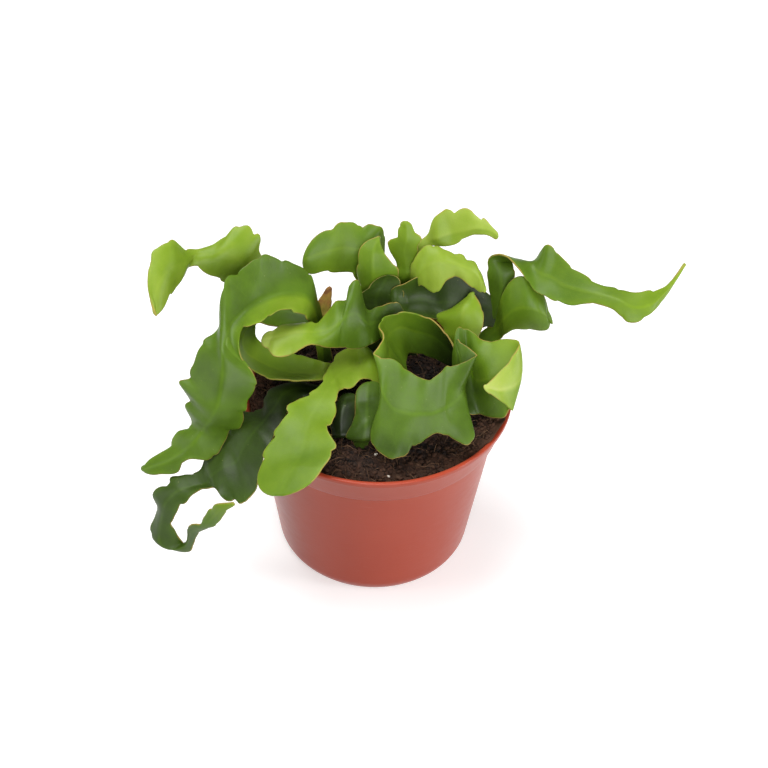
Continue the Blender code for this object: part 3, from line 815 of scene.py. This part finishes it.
SKINS = {"old_stem": skin("old_skin", 0.40, (0.26, 0.16, 0.04), 0.28, 0.05, 0.35),
         "stem": skin("green_skin", 0.41, (0.42, 0.24, 0.06), 0.34, 0.05, 0.25),
         "young_stem": skin("young_skin", 0.40, (0.42, 0.26, 0.06), 0.34, 0.02, 0.15)}
print("skins:", *SKINS)

# %% [markdown]
# Every point of a stem has a tone that the skin reads. It can change from the foot to the tip.
# On some stems a half turned to the light gets painted light, and a half turned away gets painted
# shade. It is darker low in the pot: painted shade where the stems crowd over the soil.

# %% Grow one stem and give it its tone
FACE_SHADE, DEEP_SHADE = 0.02, 0.18

def read(mesh, label):
    """The numbers that a mesh carries at its points."""
    numbers = np.empty(len(mesh.vertices))
    mesh.attributes[label].data.foreach_get("value", numbers)
    return numbers


def along_stem(grown, value):
    """A value for every point: one number, or pairs (share of the length, value) to run through."""
    return np.interp(grown, *np.transpose(value)) if np.ndim(value) else value


def grow(node, slot, tone, foot, stations, tip_tone=0.0, painted_half_light=0.0, **details):
    """A blade for a CAD stem. Its tone runs from `tone` at the foot, by tip_tone more, to the tip;
    it gets painted shade low over the soil, and the half beyond the midrib gets painted light by
    the given amount, painted shade where that amount is negative."""
    seed = sum(ord(letter) for letter in node)
    piece = blade(node.replace("stem_", "") + "_blade", foot, stations, seed, **details)
    mesh = piece.data
    place = np.empty(3 * len(mesh.vertices))
    mesh.vertices.foreach_get("co", place)
    x, y, z = place.reshape(-1, 3).T / MM
    # painted shade: darker low over the soil inside the pot, where the stems crowd together
    low_down = np.clip((POT_H + 12.0 - z) / 14.0, 0.0, 1.0)
    inside = np.clip((POT_R + 4.0 - np.hypot(x, y)) / 12.0, 0.0, 1.0)
    # painted light on the half beyond the midrib, painted shade where the amount is negative
    grown, beyond = read(mesh, "grown"), np.clip(read(mesh, "side") * 4.0, 0.0, 1.0)
    note(mesh, "tone", along_stem(grown, tone) + tip_tone * grown ** 2
         - FACE_SHADE * read(mesh, "face") - DEEP_SHADE * (low_down * inside)
         + along_stem(grown, painted_half_light) * beyond)
    settle(piece, node, SKINS[slot])
    low, high = (np.array(corner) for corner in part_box(node))
    mine = np.array([corner[:] for corner in piece.bound_box])
    past = max((low - mine.min(0)).max(), (mine.max(0) - high).max(), 0.0)
    print("%-22s %6d faces, %4.1f mm past its CAD node's box"
          % (piece.name, len(mesh.polygons), past / MM))


# %% [markdown]
# ## The old stems at the left
# These grew first and are the longest on this side. One arches up and over the rim and then runs
# down outside the pot, one curls inside that arch, and one leaves low over the rim and hooks
# back at its tip. Each line is one station: margin, midrib, margin, in millimetres from the
# pot's axis, with heights counted from the rim.

# %% Left arch
# part of its inner half gets painted light, the half turned up to the light
grow("stem_left_arch", "old_stem", 0.38, (-24, 22, 180), [
    ((-26, 25, 28), (-27, 20, 24), (-29, 16, 20)), ((-28, 26, 38), (-29, 19, 34), (-31, 10, 32)),
    ((-31, 30, 42), (-33, 18, 38), (-35, 4, 40)), ((-38, 28, 48), (-40, 16, 40), (-42, 0, 44)),
    ((-50, 24, 55), (-50, 11, 41), (-49, -4, 41)), ((-59, 17, 52), (-56, 4, 41), (-56, -9, 42)),
    ((-64, 11, 53), (-61, -3, 40), (-58, -14, 39)), ((-67, 5, 46), (-63, -10, 39), (-57, -18, 33)),
    ((-68, -2, 36), (-65, -18, 36), (-52, -22, 27)),
    ((-75, -9, 33), (-65, -24, 28), (-51, -25, 22)),
    ((-79, -14, 24), (-66, -28, 21), (-55, -27, 16)),
    ((-81, -16, 20), (-67, -30, 17), (-56, -28, 11)),
    ((-85, -17, 18), (-69, -31, 13), (-57, -28, 6)), ((-81, -20, 12), (-71, -31, 9), (-59, -28, 2)),
    ((-83, -21, 8), (-73, -31, 6), (-63, -28, -1)), ((-80, -24, 0), (-75, -30, 1), (-67, -31, -7)),
    ((-87, -24, -5), (-79, -32, -4), (-72, -35, -11)),
    ((-91, -26, -12), (-84, -32, -9), (-82, -35, -11)),
    ((-99, -28, -17), (-92, -33, -15), (-87, -36, -18)),
    ((-102, -29, -20), (-98, -32, -18), (-95, -35, -20))],
     tip_tone=0.06, painted_half_light=((0.40, 0.26), (0.52, 0.0)), fold=1.3, tooth=1.1)

# %% Left ring and the low one
grow("stem_left_ring", "old_stem", 0.80, (-12, 9, -90), [
    ((-22, 6, 9), (-23, 0, 8), (-24, -6, 9)), ((-29, 10, 8), (-30, 0, 7), (-31, -8, 11)),
    ((-39, 13, 9), (-40, 2, 7), (-40, -9, 12)), ((-48, 16, 10), (-50, 5, 9), (-50, -6, 12)),
    ((-54, 21, 10), (-58, 9, 12), (-61, -1, 19)), ((-55, 26, 12), (-60, 16, 15), (-64, 8, 24)),
    ((-52, 33, 13), (-56, 27, 16), (-60, 18, 23)), ((-44, 37, 17), (-46, 32, 17), (-47, 25, 14)),
    ((-36, 37, 16), (-36, 32, 15), (-35, 26, 12)), ((-31, 36, 15), (-30, 31, 14), (-30, 28, 12))],
     tip_tone=-0.58, fold=2.0)
LOW_TONE = (0.0, 0.16), (0.45, 0.22), (0.8, 0.26), (1.0, 0.62)
grow("stem_left_low", "old_stem", LOW_TONE, (-19, -5, -60), [
    ((-34, 0, 3), (-34, -5, 3), (-33, -10, 2)), ((-44, -4, 4), (-41, -11, 5), (-37, -18, 3)),
    ((-49, -10, 4), (-44, -19, 5), (-40, -27, 5)), ((-50, -17, 2), (-48, -26, 4), (-43, -35, 4)),
    ((-59, -19, 3), (-52, -32, 3), (-46, -42, 2)), ((-64, -19, 4), (-57, -35, -4), (-49, -49, -5)),
    ((-65, -22, -1), (-60, -38, -9), (-52, -52, -14)),
    ((-68, -26, -8), (-66, -40, -11), (-60, -54, -19)),
    ((-74, -29, -13), (-71, -41, -15), (-66, -52, -17)),
    ((-77, -35, -18), (-74, -41, -20), (-70, -47, -16)),
    ((-84, -35, -20), (-81, -41, -22), (-78, -45, -21)),
    ((-91, -36, -23), (-87, -42, -24), (-83, -46, -26)),
    ((-98, -37, -29), (-92, -43, -30), (-87, -46, -32)),
    ((-97, -39, -37), (-94, -44, -37), (-90, -46, -39)),
    ((-100, -41, -46), (-96, -46, -47), (-89, -46, -43)),
    ((-100, -43, -51), (-95, -48, -51), (-87, -46, -50)),
    ((-94, -46, -55), (-90, -49, -53), (-85, -46, -51)),
    ((-83, -50, -53), (-84, -50, -49), (-83, -48, -46)),
    ((-78, -53, -39), (-80, -53, -37), (-82, -52, -35)),
    ((-73, -56, -32), (-75, -56, -31), (-77, -55, -30)),
    ((-68, -58, -27), (-70, -58, -23), (-71, -57, -19)),
    ((-64, -60, -18), (-66, -60, -16), (-68, -59, -14)),
    ((-60, -61, -13), (-61, -61, -12), (-61, -61, -11))], fold=1.4, tooth=1.1,
     teeth=((1, 7.0, 2.5), (0, 11.0, 2.0), (1, 19.0, 1.5)))

# %% [markdown]
# ## The stems in the middle
# A bright stem lies over the front rim like a saddle. Behind it a broad one crosses to the left
# and ends in a pale fold. The scroll stands at the heart of the plant: it turns almost a full
# circle and opens into a wide band at the front, creased along its midrib.

# %% Front saddle, centre left, and the short ones below
grow("stem_front_saddle", "young_stem", 0.74, (9, 5, -90), [
    ((-5, 14, 12), (-2, 6, 11), (1, -6, 7)), ((-11, 13, 13), (-8, 5, 10), (-6, -8, 12)),
    ((-16, 9, 13), (-12, 0, 11), (-10, -12, 11)), ((-20, 2, 13), (-17, -6, 12), (-14, -15, 12)),
    ((-23, -8, 13), (-19, -12, 13), (-16, -17, 13)),
    ((-26, -16, 13), (-22, -20, 13), (-17, -22, 13)),
    ((-33, -22, 13), (-25, -26, 12), (-17, -30, 12)),
    ((-37, -27, 14), (-28, -31, 11), (-19, -36, 12)),
    ((-39, -32, 12), (-29, -37, 10), (-20, -42, 13)),
    ((-43, -38, 8), (-30, -44, 9), (-17, -49, 12)), ((-47, -45, 4), (-31, -50, 7), (-18, -55, 11)),
    ((-49, -52, 0), (-34, -57, 6), (-22, -61, 9))],
     tip_tone=-0.22, fold=1.5, tooth=1.2)
grow("stem_centre_left", "stem", 0.13, (14, 27, 180), [
    ((10, 28, 24), (9, 26, 18), (8, 24, 10)), ((1, 22, 28), (0, 15, 25), (0, 8, 20)),
    ((-5, 21, 28), (-4, 11, 27), (-3, 5, 20)), ((-8, 24, 41), (-9, 11, 33), (-8, 4, 19)),
    ((-12, 22, 40), (-13, 8, 34), (-14, 2, 21)), ((-13, 20, 34), (-15, 6, 33), (-17, 1, 22)),
    ((-18, 17, 35), (-18, 4, 32), (-21, -1, 24)), ((-22, 13, 32), (-23, 3, 30), (-26, -3, 27)),
    ((-26, 8, 30), (-27, 2, 30), (-29, -4, 28)), ((-29, 9, 30), (-31, 1, 31), (-33, -6, 27)),
    ((-35, 8, 30), (-37, 0, 31), (-38, -8, 25)), ((-41, 6, 31), (-43, -1, 30), (-44, -9, 26)),
    ((-45, 2, 31), (-46, -2, 29), (-47, -5, 27))],
     tip_tone=0.84, fold=1.8, tooth=0.5)
grow("stem_low_rolled", "old_stem", 0.28, (-6, -33, 5), [
    ((-13, -34, 2), (-5, -36, 3), (3, -34, 3)), ((-10, -29, 6), (-4, -32, 8), (3, -28, 6)),
    ((-9, -24, 8), (-4, -26, 9), (3, -22, 8)), ((-9, -19, 9), (-4, -20, 9), (3, -16, 9)),
    ((-9, -16, 10), (-4, -17, 10), (3, -13, 10))], fold=2.0, tooth=0.3)
grow("stem_low_left", "old_stem", 0.06, (-17, -28, 35), [
    ((-19, -32, 1), (-15, -33, 2), (-11, -33, 1)), ((-20, -26, 4), (-15, -28, 5), (-9, -27, 5)),
    ((-18, -20, 7), (-14, -22, 8), (-9, -20, 8)), ((-16, -16, 8), (-13, -17, 8), (-9, -16, 8))],
     tooth=0.3)

# %% The scroll and its neighbour on the right
# near black at the foot, inside the turn: painted shade in the scroll's hollow
SCROLL_TONE = (0.0, 0.02), (0.17, 0.08), (0.28, 0.50), (0.45, 0.54), (0.6, 0.37), (1.0, 0.30)
grow("stem_front_scroll", "stem", SCROLL_TONE, (37, 2, 127), [
    ((35, 2, 15), (37, 3, 8), (37, 3, 2)), ((32, 9, 20), (34, 9, 12), (33, 9, 2)),
    ((25, 18, 23), (26, 19, 13), (26, 17, 2)), ((16, 20, 26), (17, 21, 15), (18, 19, 3)),
    ((9, 19, 27), (10, 20, 18), (14, 17, 5)), ((3, 13, 29), (5, 14, 19), (13, 12, 6)),
    ((1, 6, 30), (4, 7, 20), (13, 6, 7)), ((3, 0, 30), (5, 0, 21), (13, 0, 8)),
    ((1, -6, 29), (4, -9, 22), (9, -9, 12)), ((-1, -10, 28), (2, -16, 22), (3, -18, 14)),
    ((3, -12, 28), (3, -24, 21), (1, -27, 11)), ((7, -13, 28), (5, -28, 18), (-2, -36, 6)),
    ((10, -15, 27), (8, -32, 16), (0, -44, 4)), ((14, -17, 25), (12, -34, 16), (8, -49, 3)),
    ((18, -20, 24), (16, -35, 16), (13, -46, 4)), ((22, -21, 23), (20, -35, 16), (18, -43, 5)),
    ((25, -20, 24), (24, -35, 16), (22, -41, 8)), ((28, -18, 25), (27, -34, 17), (27, -40, 10)),
    ((31, -16, 27), (30, -33, 18), (33, -41, 7)), ((36, -16, 28), (34, -29, 18), (39, -43, 6)),
    ((43, -12, 29), (37, -24, 19), (42, -40, 8)), ((41, -8, 29), (38, -18, 21), (39, -28, 12)),
    ((36, -3, 29), (36, -6, 26), (36, -10, 23))], fold=1.25, tooth=0.7, teeth=((1, 14.4, 2.5),))
# its lower half gets painted shade, the half that faces down
grow("stem_right_front", "stem", 0.24, (34, -8, -70), [
    ((34, 0, 30), (36, -8, 18), (38, -14, 8)), ((38, 4, 31), (40, -6, 15), (39, -23, 6)),
    ((42, 2, 30), (43, -12, 15), (44, -21, 3)), ((47, 0, 27), (48, -16, 19), (50, -23, 3)),
    ((56, -2, 30), (53, -17, 21), (55, -24, 4)), ((61, -6, 32), (60, -17, 24), (57, -24, 8)),
    ((61, -12, 34), (62, -18, 23), (58, -28, 12)), ((56, -18, 30), (59, -23, 22), (58, -29, 13)),
    ((50, -24, 27), (53, -27, 23), (54, -30, 18)), ((47, -26, 25), (48, -27, 24), (49, -29, 22))],
     tip_tone=0.84, painted_half_light=-0.16, fold=1.4, tooth=0.5)

# %% [markdown]
# ## The stems at the back
# Young shoots crowd the back of the pot. The palest arch forwards over darker, cupped ones, and
# a short dried stem end sticks up between them.

# %% Back, from left to right
grow("stem_top_left", "stem", 0.47, (-6, 47, 225), [
    ((2, 52, 21), (-2, 49, 19), (-6, 46, 17)), ((3, 56, 37), (-4, 50, 33), (-10, 46, 25)),
    ((2, 57, 45), (-5, 50, 39), (-12, 46, 27)), ((-4, 57, 46), (-10, 49, 39), (-15, 46, 28)),
    ((-11, 56, 49), (-15, 49, 40), (-19, 45, 29)), ((-18, 54, 49), (-21, 47, 40), (-24, 44, 30)),
    ((-24, 52, 47), (-26, 46, 39), (-27, 43, 30))],
     tip_tone=0.06, teeth=((0, 3.3, 2.0), (0, 5.3, 1.2)))
grow("stem_folded_lobe", "stem", 0.48, (-3, 40, -5), [
    ((-6, 41, 16), (-1, 40, 16), (3, 40, 16)), ((-9, 42, 27), (-2, 39, 26), (8, 41, 25)),
    ((-9, 43, 36), (-2, 39, 34), (9, 42, 33)), ((-8, 45, 42), (-2, 42, 41), (4, 43, 40)),
    ((-5, 47, 45), (-1, 45, 44), (2, 45, 43)), ((0, 48, 47), (1, 48, 46), (1, 47, 46))])
grow("stem_under_leaf", "old_stem", 0.16, (-3, 31, -5), [
    ((-7, 32, 13), (0, 33, 13), (6, 31, 13)), ((-8, 34, 19), (-1, 36, 19), (10, 34, 19)),
    ((-8, 35, 24), (0, 37, 24), (12, 36, 24)), ((-4, 36, 27), (2, 38, 27), (10, 37, 27))],
     tooth=0.3)
grow("stem_young_shoot", "young_stem", 0.46, (4, 47, -10), [
    ((7, 46, 24), (12, 45, 24), (17, 45, 23)), ((8, 48, 32), (13, 46, 31), (18, 47, 31)),
    ((5, 50, 39), (12, 48, 39), (18, 48, 40)), ((8, 52, 46), (13, 49, 44), (19, 50, 45)),
    ((10, 53, 49), (13, 52, 49), (16, 52, 49))],
     tip_tone=0.12, tooth=0.6, teeth=((0, 2.7, 2.0), (1, 3.4, 1.5)))
# one half gets a little painted shade
grow("stem_top_right", "young_stem", 0.74, (12, 49, -27), [
    ((14, 54, 24), (16, 52, 23), (18, 51, 22)), ((17, 56, 36), (19, 54, 34), (21, 52, 32)),
    ((22, 58, 40), (23, 56, 38), (24, 54, 37)), ((25, 60, 48), (27, 55, 41), (28, 53, 37)),
    ((30, 61, 51), (33, 56, 43), (33, 53, 38)), ((38, 61, 53), (39, 55, 45), (38, 53, 41)),
    ((43, 59, 52), (44, 54, 47), (43, 53, 44)), ((48, 56, 50), (49, 53, 47), (49, 51, 45)),
    ((53, 52, 47), (53, 51, 46), (52, 50, 44))], tip_tone=0.08, painted_half_light=-0.08,
     fold=1.3, tooth=0.6, teeth=((0, 4.5, 1.8), (0, 6.6, -1.5)))
grow("stem_light_arch", "young_stem", 0.72, (20, 44, -32), [
    ((15, 45, 20), (17, 44, 18), (18, 42, 16)), ((15, 45, 33), (18, 40, 31), (19, 38, 27)),
    ((20, 47, 41), (22, 40, 37), (23, 36, 26)), ((26, 47, 43), (27, 40, 39), (27, 34, 26)),
    ((30, 46, 41), (31, 40, 39), (31, 36, 32)), ((36, 45, 39), (36, 39, 38), (36, 36, 33)),
    ((42, 43, 38), (42, 37, 36), (41, 33, 31)), ((46, 38, 35), (46, 33, 34), (45, 31, 29)),
    ((48, 33, 31), (48, 32, 30), (47, 31, 29))], fold=1.8, tooth=0.7, teeth=((0, 5.6, 2.0),))
grow("stem_cupped_back", "stem", 0.20, (6, 38, -56), [
    ((6, 36, 25), (7, 33, 21), (8, 29, 18)), ((12, 37, 29), (14, 36, 20), (13, 28, 18)),
    ((18, 39, 31), (20, 37, 20), (20, 28, 17)), ((24, 40, 31), (26, 36, 19), (27, 28, 16)),
    ((30, 40, 32), (32, 35, 20), (33, 29, 15)), ((36, 40, 31), (38, 35, 20), (39, 29, 11)),
    ((41, 40, 29), (43, 35, 19), (44, 30, 8)), ((46, 38, 25), (48, 35, 18), (49, 32, 8))],
     tip_tone=-0.14, fold=2.0, tooth=0.4)
grow("stem_bow_tie", "stem", 0.62, (38, 19, -28), [
    ((32, 20, 10), (38, 18, 11), (45, 20, 11)), ((28, 26, 14), (38, 20, 17), (47, 22, 17)),
    ((25, 31, 15), (38, 23, 22), (47, 26, 21)), ((33, 33, 18), (39, 27, 25), (46, 28, 24)),
    ((40, 33, 25), (42, 32, 26), (43, 32, 27))], tooth=0.5)

# %% [markdown]
# ## The long stems at the sides
# Two stems reach far out over the table, one on each side. The right one ends in a thin tip that
# turns up, and a broad grey-green one stands under its base.

# %% Far left, right long and the lobe below it
grow("stem_far_left", "young_stem", 0.66, (-14, 39, 225), [
    ((-30, 42, 12), (-31, 40, 10), (-33, 38, 8)), ((-44, 43, 28), (-46, 39, 23), (-48, 36, 18)),
    ((-52, 42, 42), (-57, 36, 36), (-62, 33, 32)), ((-52, 44, 49), (-60, 35, 43), (-68, 32, 34)),
    ((-56, 46, 54), (-65, 35, 47), (-71, 31, 37)), ((-63, 45, 54), (-69, 35, 48), (-75, 31, 39)),
    ((-70, 41, 50), (-74, 35, 47), (-79, 31, 43)), ((-78, 38, 48), (-80, 34, 47), (-83, 29, 44)),
    ((-84, 34, 51), (-84, 28, 48), (-85, 22, 43)), ((-89, 31, 58), (-88, 23, 50), (-88, 17, 42)),
    ((-94, 27, 58), (-91, 19, 50), (-90, 12, 41)), ((-98, 22, 55), (-94, 14, 48), (-92, 8, 39)),
    ((-99, 14, 49), (-96, 9, 44), (-94, 5, 38)), ((-98, 9, 44), (-96, 7, 41), (-95, 4, 38)),
    ((-96, 5, 40), (-96, 5, 39), (-95, 4, 38))], tip_tone=0.08,
     teeth=((0, 3.5, 2.0), (0, 5.4, 2.2), (0, 11.0, 1.5)))
grow("stem_right_long", "stem", 0.30, (30, 37, -20), [
    ((47, 38, 7), (44, 36, 5), (41, 34, 4)), ((57, 35, 13), (53, 34, 11), (49, 33, 9)),
    ((60, 36, 25), (55, 34, 23), (50, 37, 20)), ((61, 38, 36), (55, 36, 33), (49, 39, 32)),
    ((60, 43, 37), (54, 40, 38), (49, 41, 39)), ((62, 45, 36), (57, 42, 38), (52, 40, 43)),
    ((66, 44, 36), (62, 41, 39), (57, 36, 45)), ((70, 42, 38), (67, 37, 40), (64, 30, 40)),
    ((74, 38, 50), (72, 32, 39), (69, 25, 35)), ((79, 36, 48), (77, 30, 38), (74, 22, 34)),
    ((84, 32, 44), (82, 26, 37), (80, 20, 32)), ((90, 28, 42), (88, 23, 37), (86, 18, 32)),
    ((98, 24, 39), (96, 20, 37), (93, 17, 34)), ((107, 22, 38), (105, 16, 37), (103, 13, 34)),
    ((112, 20, 38), (111, 13, 35), (109, 9, 30)), ((119, 21, 38), (118, 14, 35), (116, 10, 31)),
    ((126, 25, 37), (124, 19, 36), (122, 15, 33)), ((131, 31, 38), (130, 28, 37), (128, 24, 35)),
    ((136, 39, 39), (136, 38, 39), (135, 38, 38))],
     tip_tone=0.42)
grow("stem_right_lobe", "old_stem", 0.46, (40, 29, -45), [
    ((52, 34, 10), (53, 31, 6), (54, 28, 3)), ((56, 33, 27), (57, 27, 17), (57, 26, 8)),
    ((60, 33, 35), (61, 25, 24), (61, 24, 13)), ((65, 32, 37), (66, 23, 27), (67, 23, 14)),
    ((70, 30, 33), (71, 22, 26), (73, 22, 14)), ((74, 28, 29), (75, 23, 23), (76, 22, 15)),
    ((76, 25, 23), (76, 24, 20), (77, 23, 18))], fold=2.0, tooth=0.3)

# %% [markdown]
# ## The dried stem end
# One old stem has died back. Dry tissue loses its green from the tip down, shrivels lengthwise
# and turns dull, so its finish is a colour run along the stem with fine grooves the same way.

# %% The dried stub
dry = Finish("dried_skin", {"Specular IOR Level": 0.35})
furrow = dry.noise(0.8, 3.0, (1.0, 1.0, 6.0))
age = dry.value("grown") + (dry.noise(3.0, 3.0) - 0.5) * 0.5
tan = dry.ramp(age, [(0.0, (0.16, 0.20, 0.020)), (0.75, (0.42, 0.33, 0.045)),
                     (0.95, (0.40, 0.20, 0.04)), (1.0, (0.22, 0.09, 0.025))])
dry.put(dry.shader.inputs["Base Color"], dry.mix(furrow * 0.4, tan, (0.12, 0.06, 0.02)))
dry.put(dry.shader.inputs["Roughness"], 0.55 + furrow * 0.25)
dry.emboss(furrow, 0.25)
stub = blade("dried_stub_blade", (-21, 33, 0), [
    ((-29, 24, 16), (-22, 25, 17)), ((-28, 26, 22), (-21, 26, 23)), ((-26, 28, 27), (-20, 28, 28)),
    ((-23, 29, 32), (-20, 29, 32))], 7, cup=0.5, thick=1.3, tooth=0.9)
settle(stub, "stem_dried_stub", dry)
print("stub:", len(stub.data.polygons), "faces")

# %% [markdown]
# ## Floor and light
# A white floor under soft lights: it also gives off a little light of its own, so it comes out
# nearly pure white with a breath of shadow at the foot of the pot. It is hidden from light that
# has bounced, or it would fill the shaded undersides of the stems.

# %% Floor
FLOOR_HALF = 6.0
floor_mesh = bpy.data.meshes.new("studio_floor")
corners = np.array([(-1, -1, 0), (1, -1, 0), (1, 1, 0), (-1, 1, 0)]) * FLOOR_HALF
floor_mesh.from_pydata(corners.tolist(), [], [(0, 1, 2, 3)])
floor = bpy.data.objects.new("studio_floor", floor_mesh)
bpy.context.scene.collection.objects.link(floor)
paper = Finish("white_sweep", {"Roughness": 0.9, "Specular IOR Level": 0.1,
                               "Emission Color": (1.0, 1.0, 1.0), "Emission Strength": 0.35})
paper.put(paper.shader.inputs["Base Color"],
          paper.mix(paper.noise(60.0, 2.0), (0.87, 0.87, 0.87), (0.89, 0.89, 0.89)))
floor_mesh.materials.append(paper.material)
floor.visible_diffuse = False
print("floor:", 2.0 * FLOOR_HALF, "m square")

# %% [markdown]
# A broad light over the plant and one before it do most of the work, and a narrow strip on each
# side puts the long sheen on the waxy skin. The even white air fills what is left.

# %% Lights and the air around
LOOK_AT = Vector((0.0, 0.0, 0.08))

def softbox(name, place, width, height, watts):
    """A rectangular area light that looks at the plant."""
    lamp = bpy.data.lights.new(name, "AREA")
    lamp.shape = "RECTANGLE"
    lamp.size, lamp.size_y, lamp.energy = width, height, watts
    made = bpy.data.objects.new(name, lamp)
    made.location = place
    made.rotation_euler = (LOOK_AT - Vector(place)).to_track_quat("-Z", "Y").to_euler()
    bpy.context.scene.collection.objects.link(made)


softbox("top_light", (-0.35, 0.15, 1.4), 1.0, 1.0, 17.0)
softbox("front_light", (0.25, -1.5, 0.8), 1.2, 0.9, 18.0)
softbox("left_strip", (-1.3, -0.35, 0.55), 0.30, 1.0, 3.5)
softbox("right_strip", (1.1, -0.35, 0.35), 0.30, 0.7, 7.0)
air = bpy.data.worlds.new("air")
air.use_nodes = True
air.node_tree.nodes["Background"].inputs["Color"].default_value = (1.0, 1.0, 1.0, 1.0)
air.node_tree.nodes["Background"].inputs["Strength"].default_value = 0.22
bpy.context.scene.world = air
bpy.context.scene.view_settings.view_transform = "Standard"
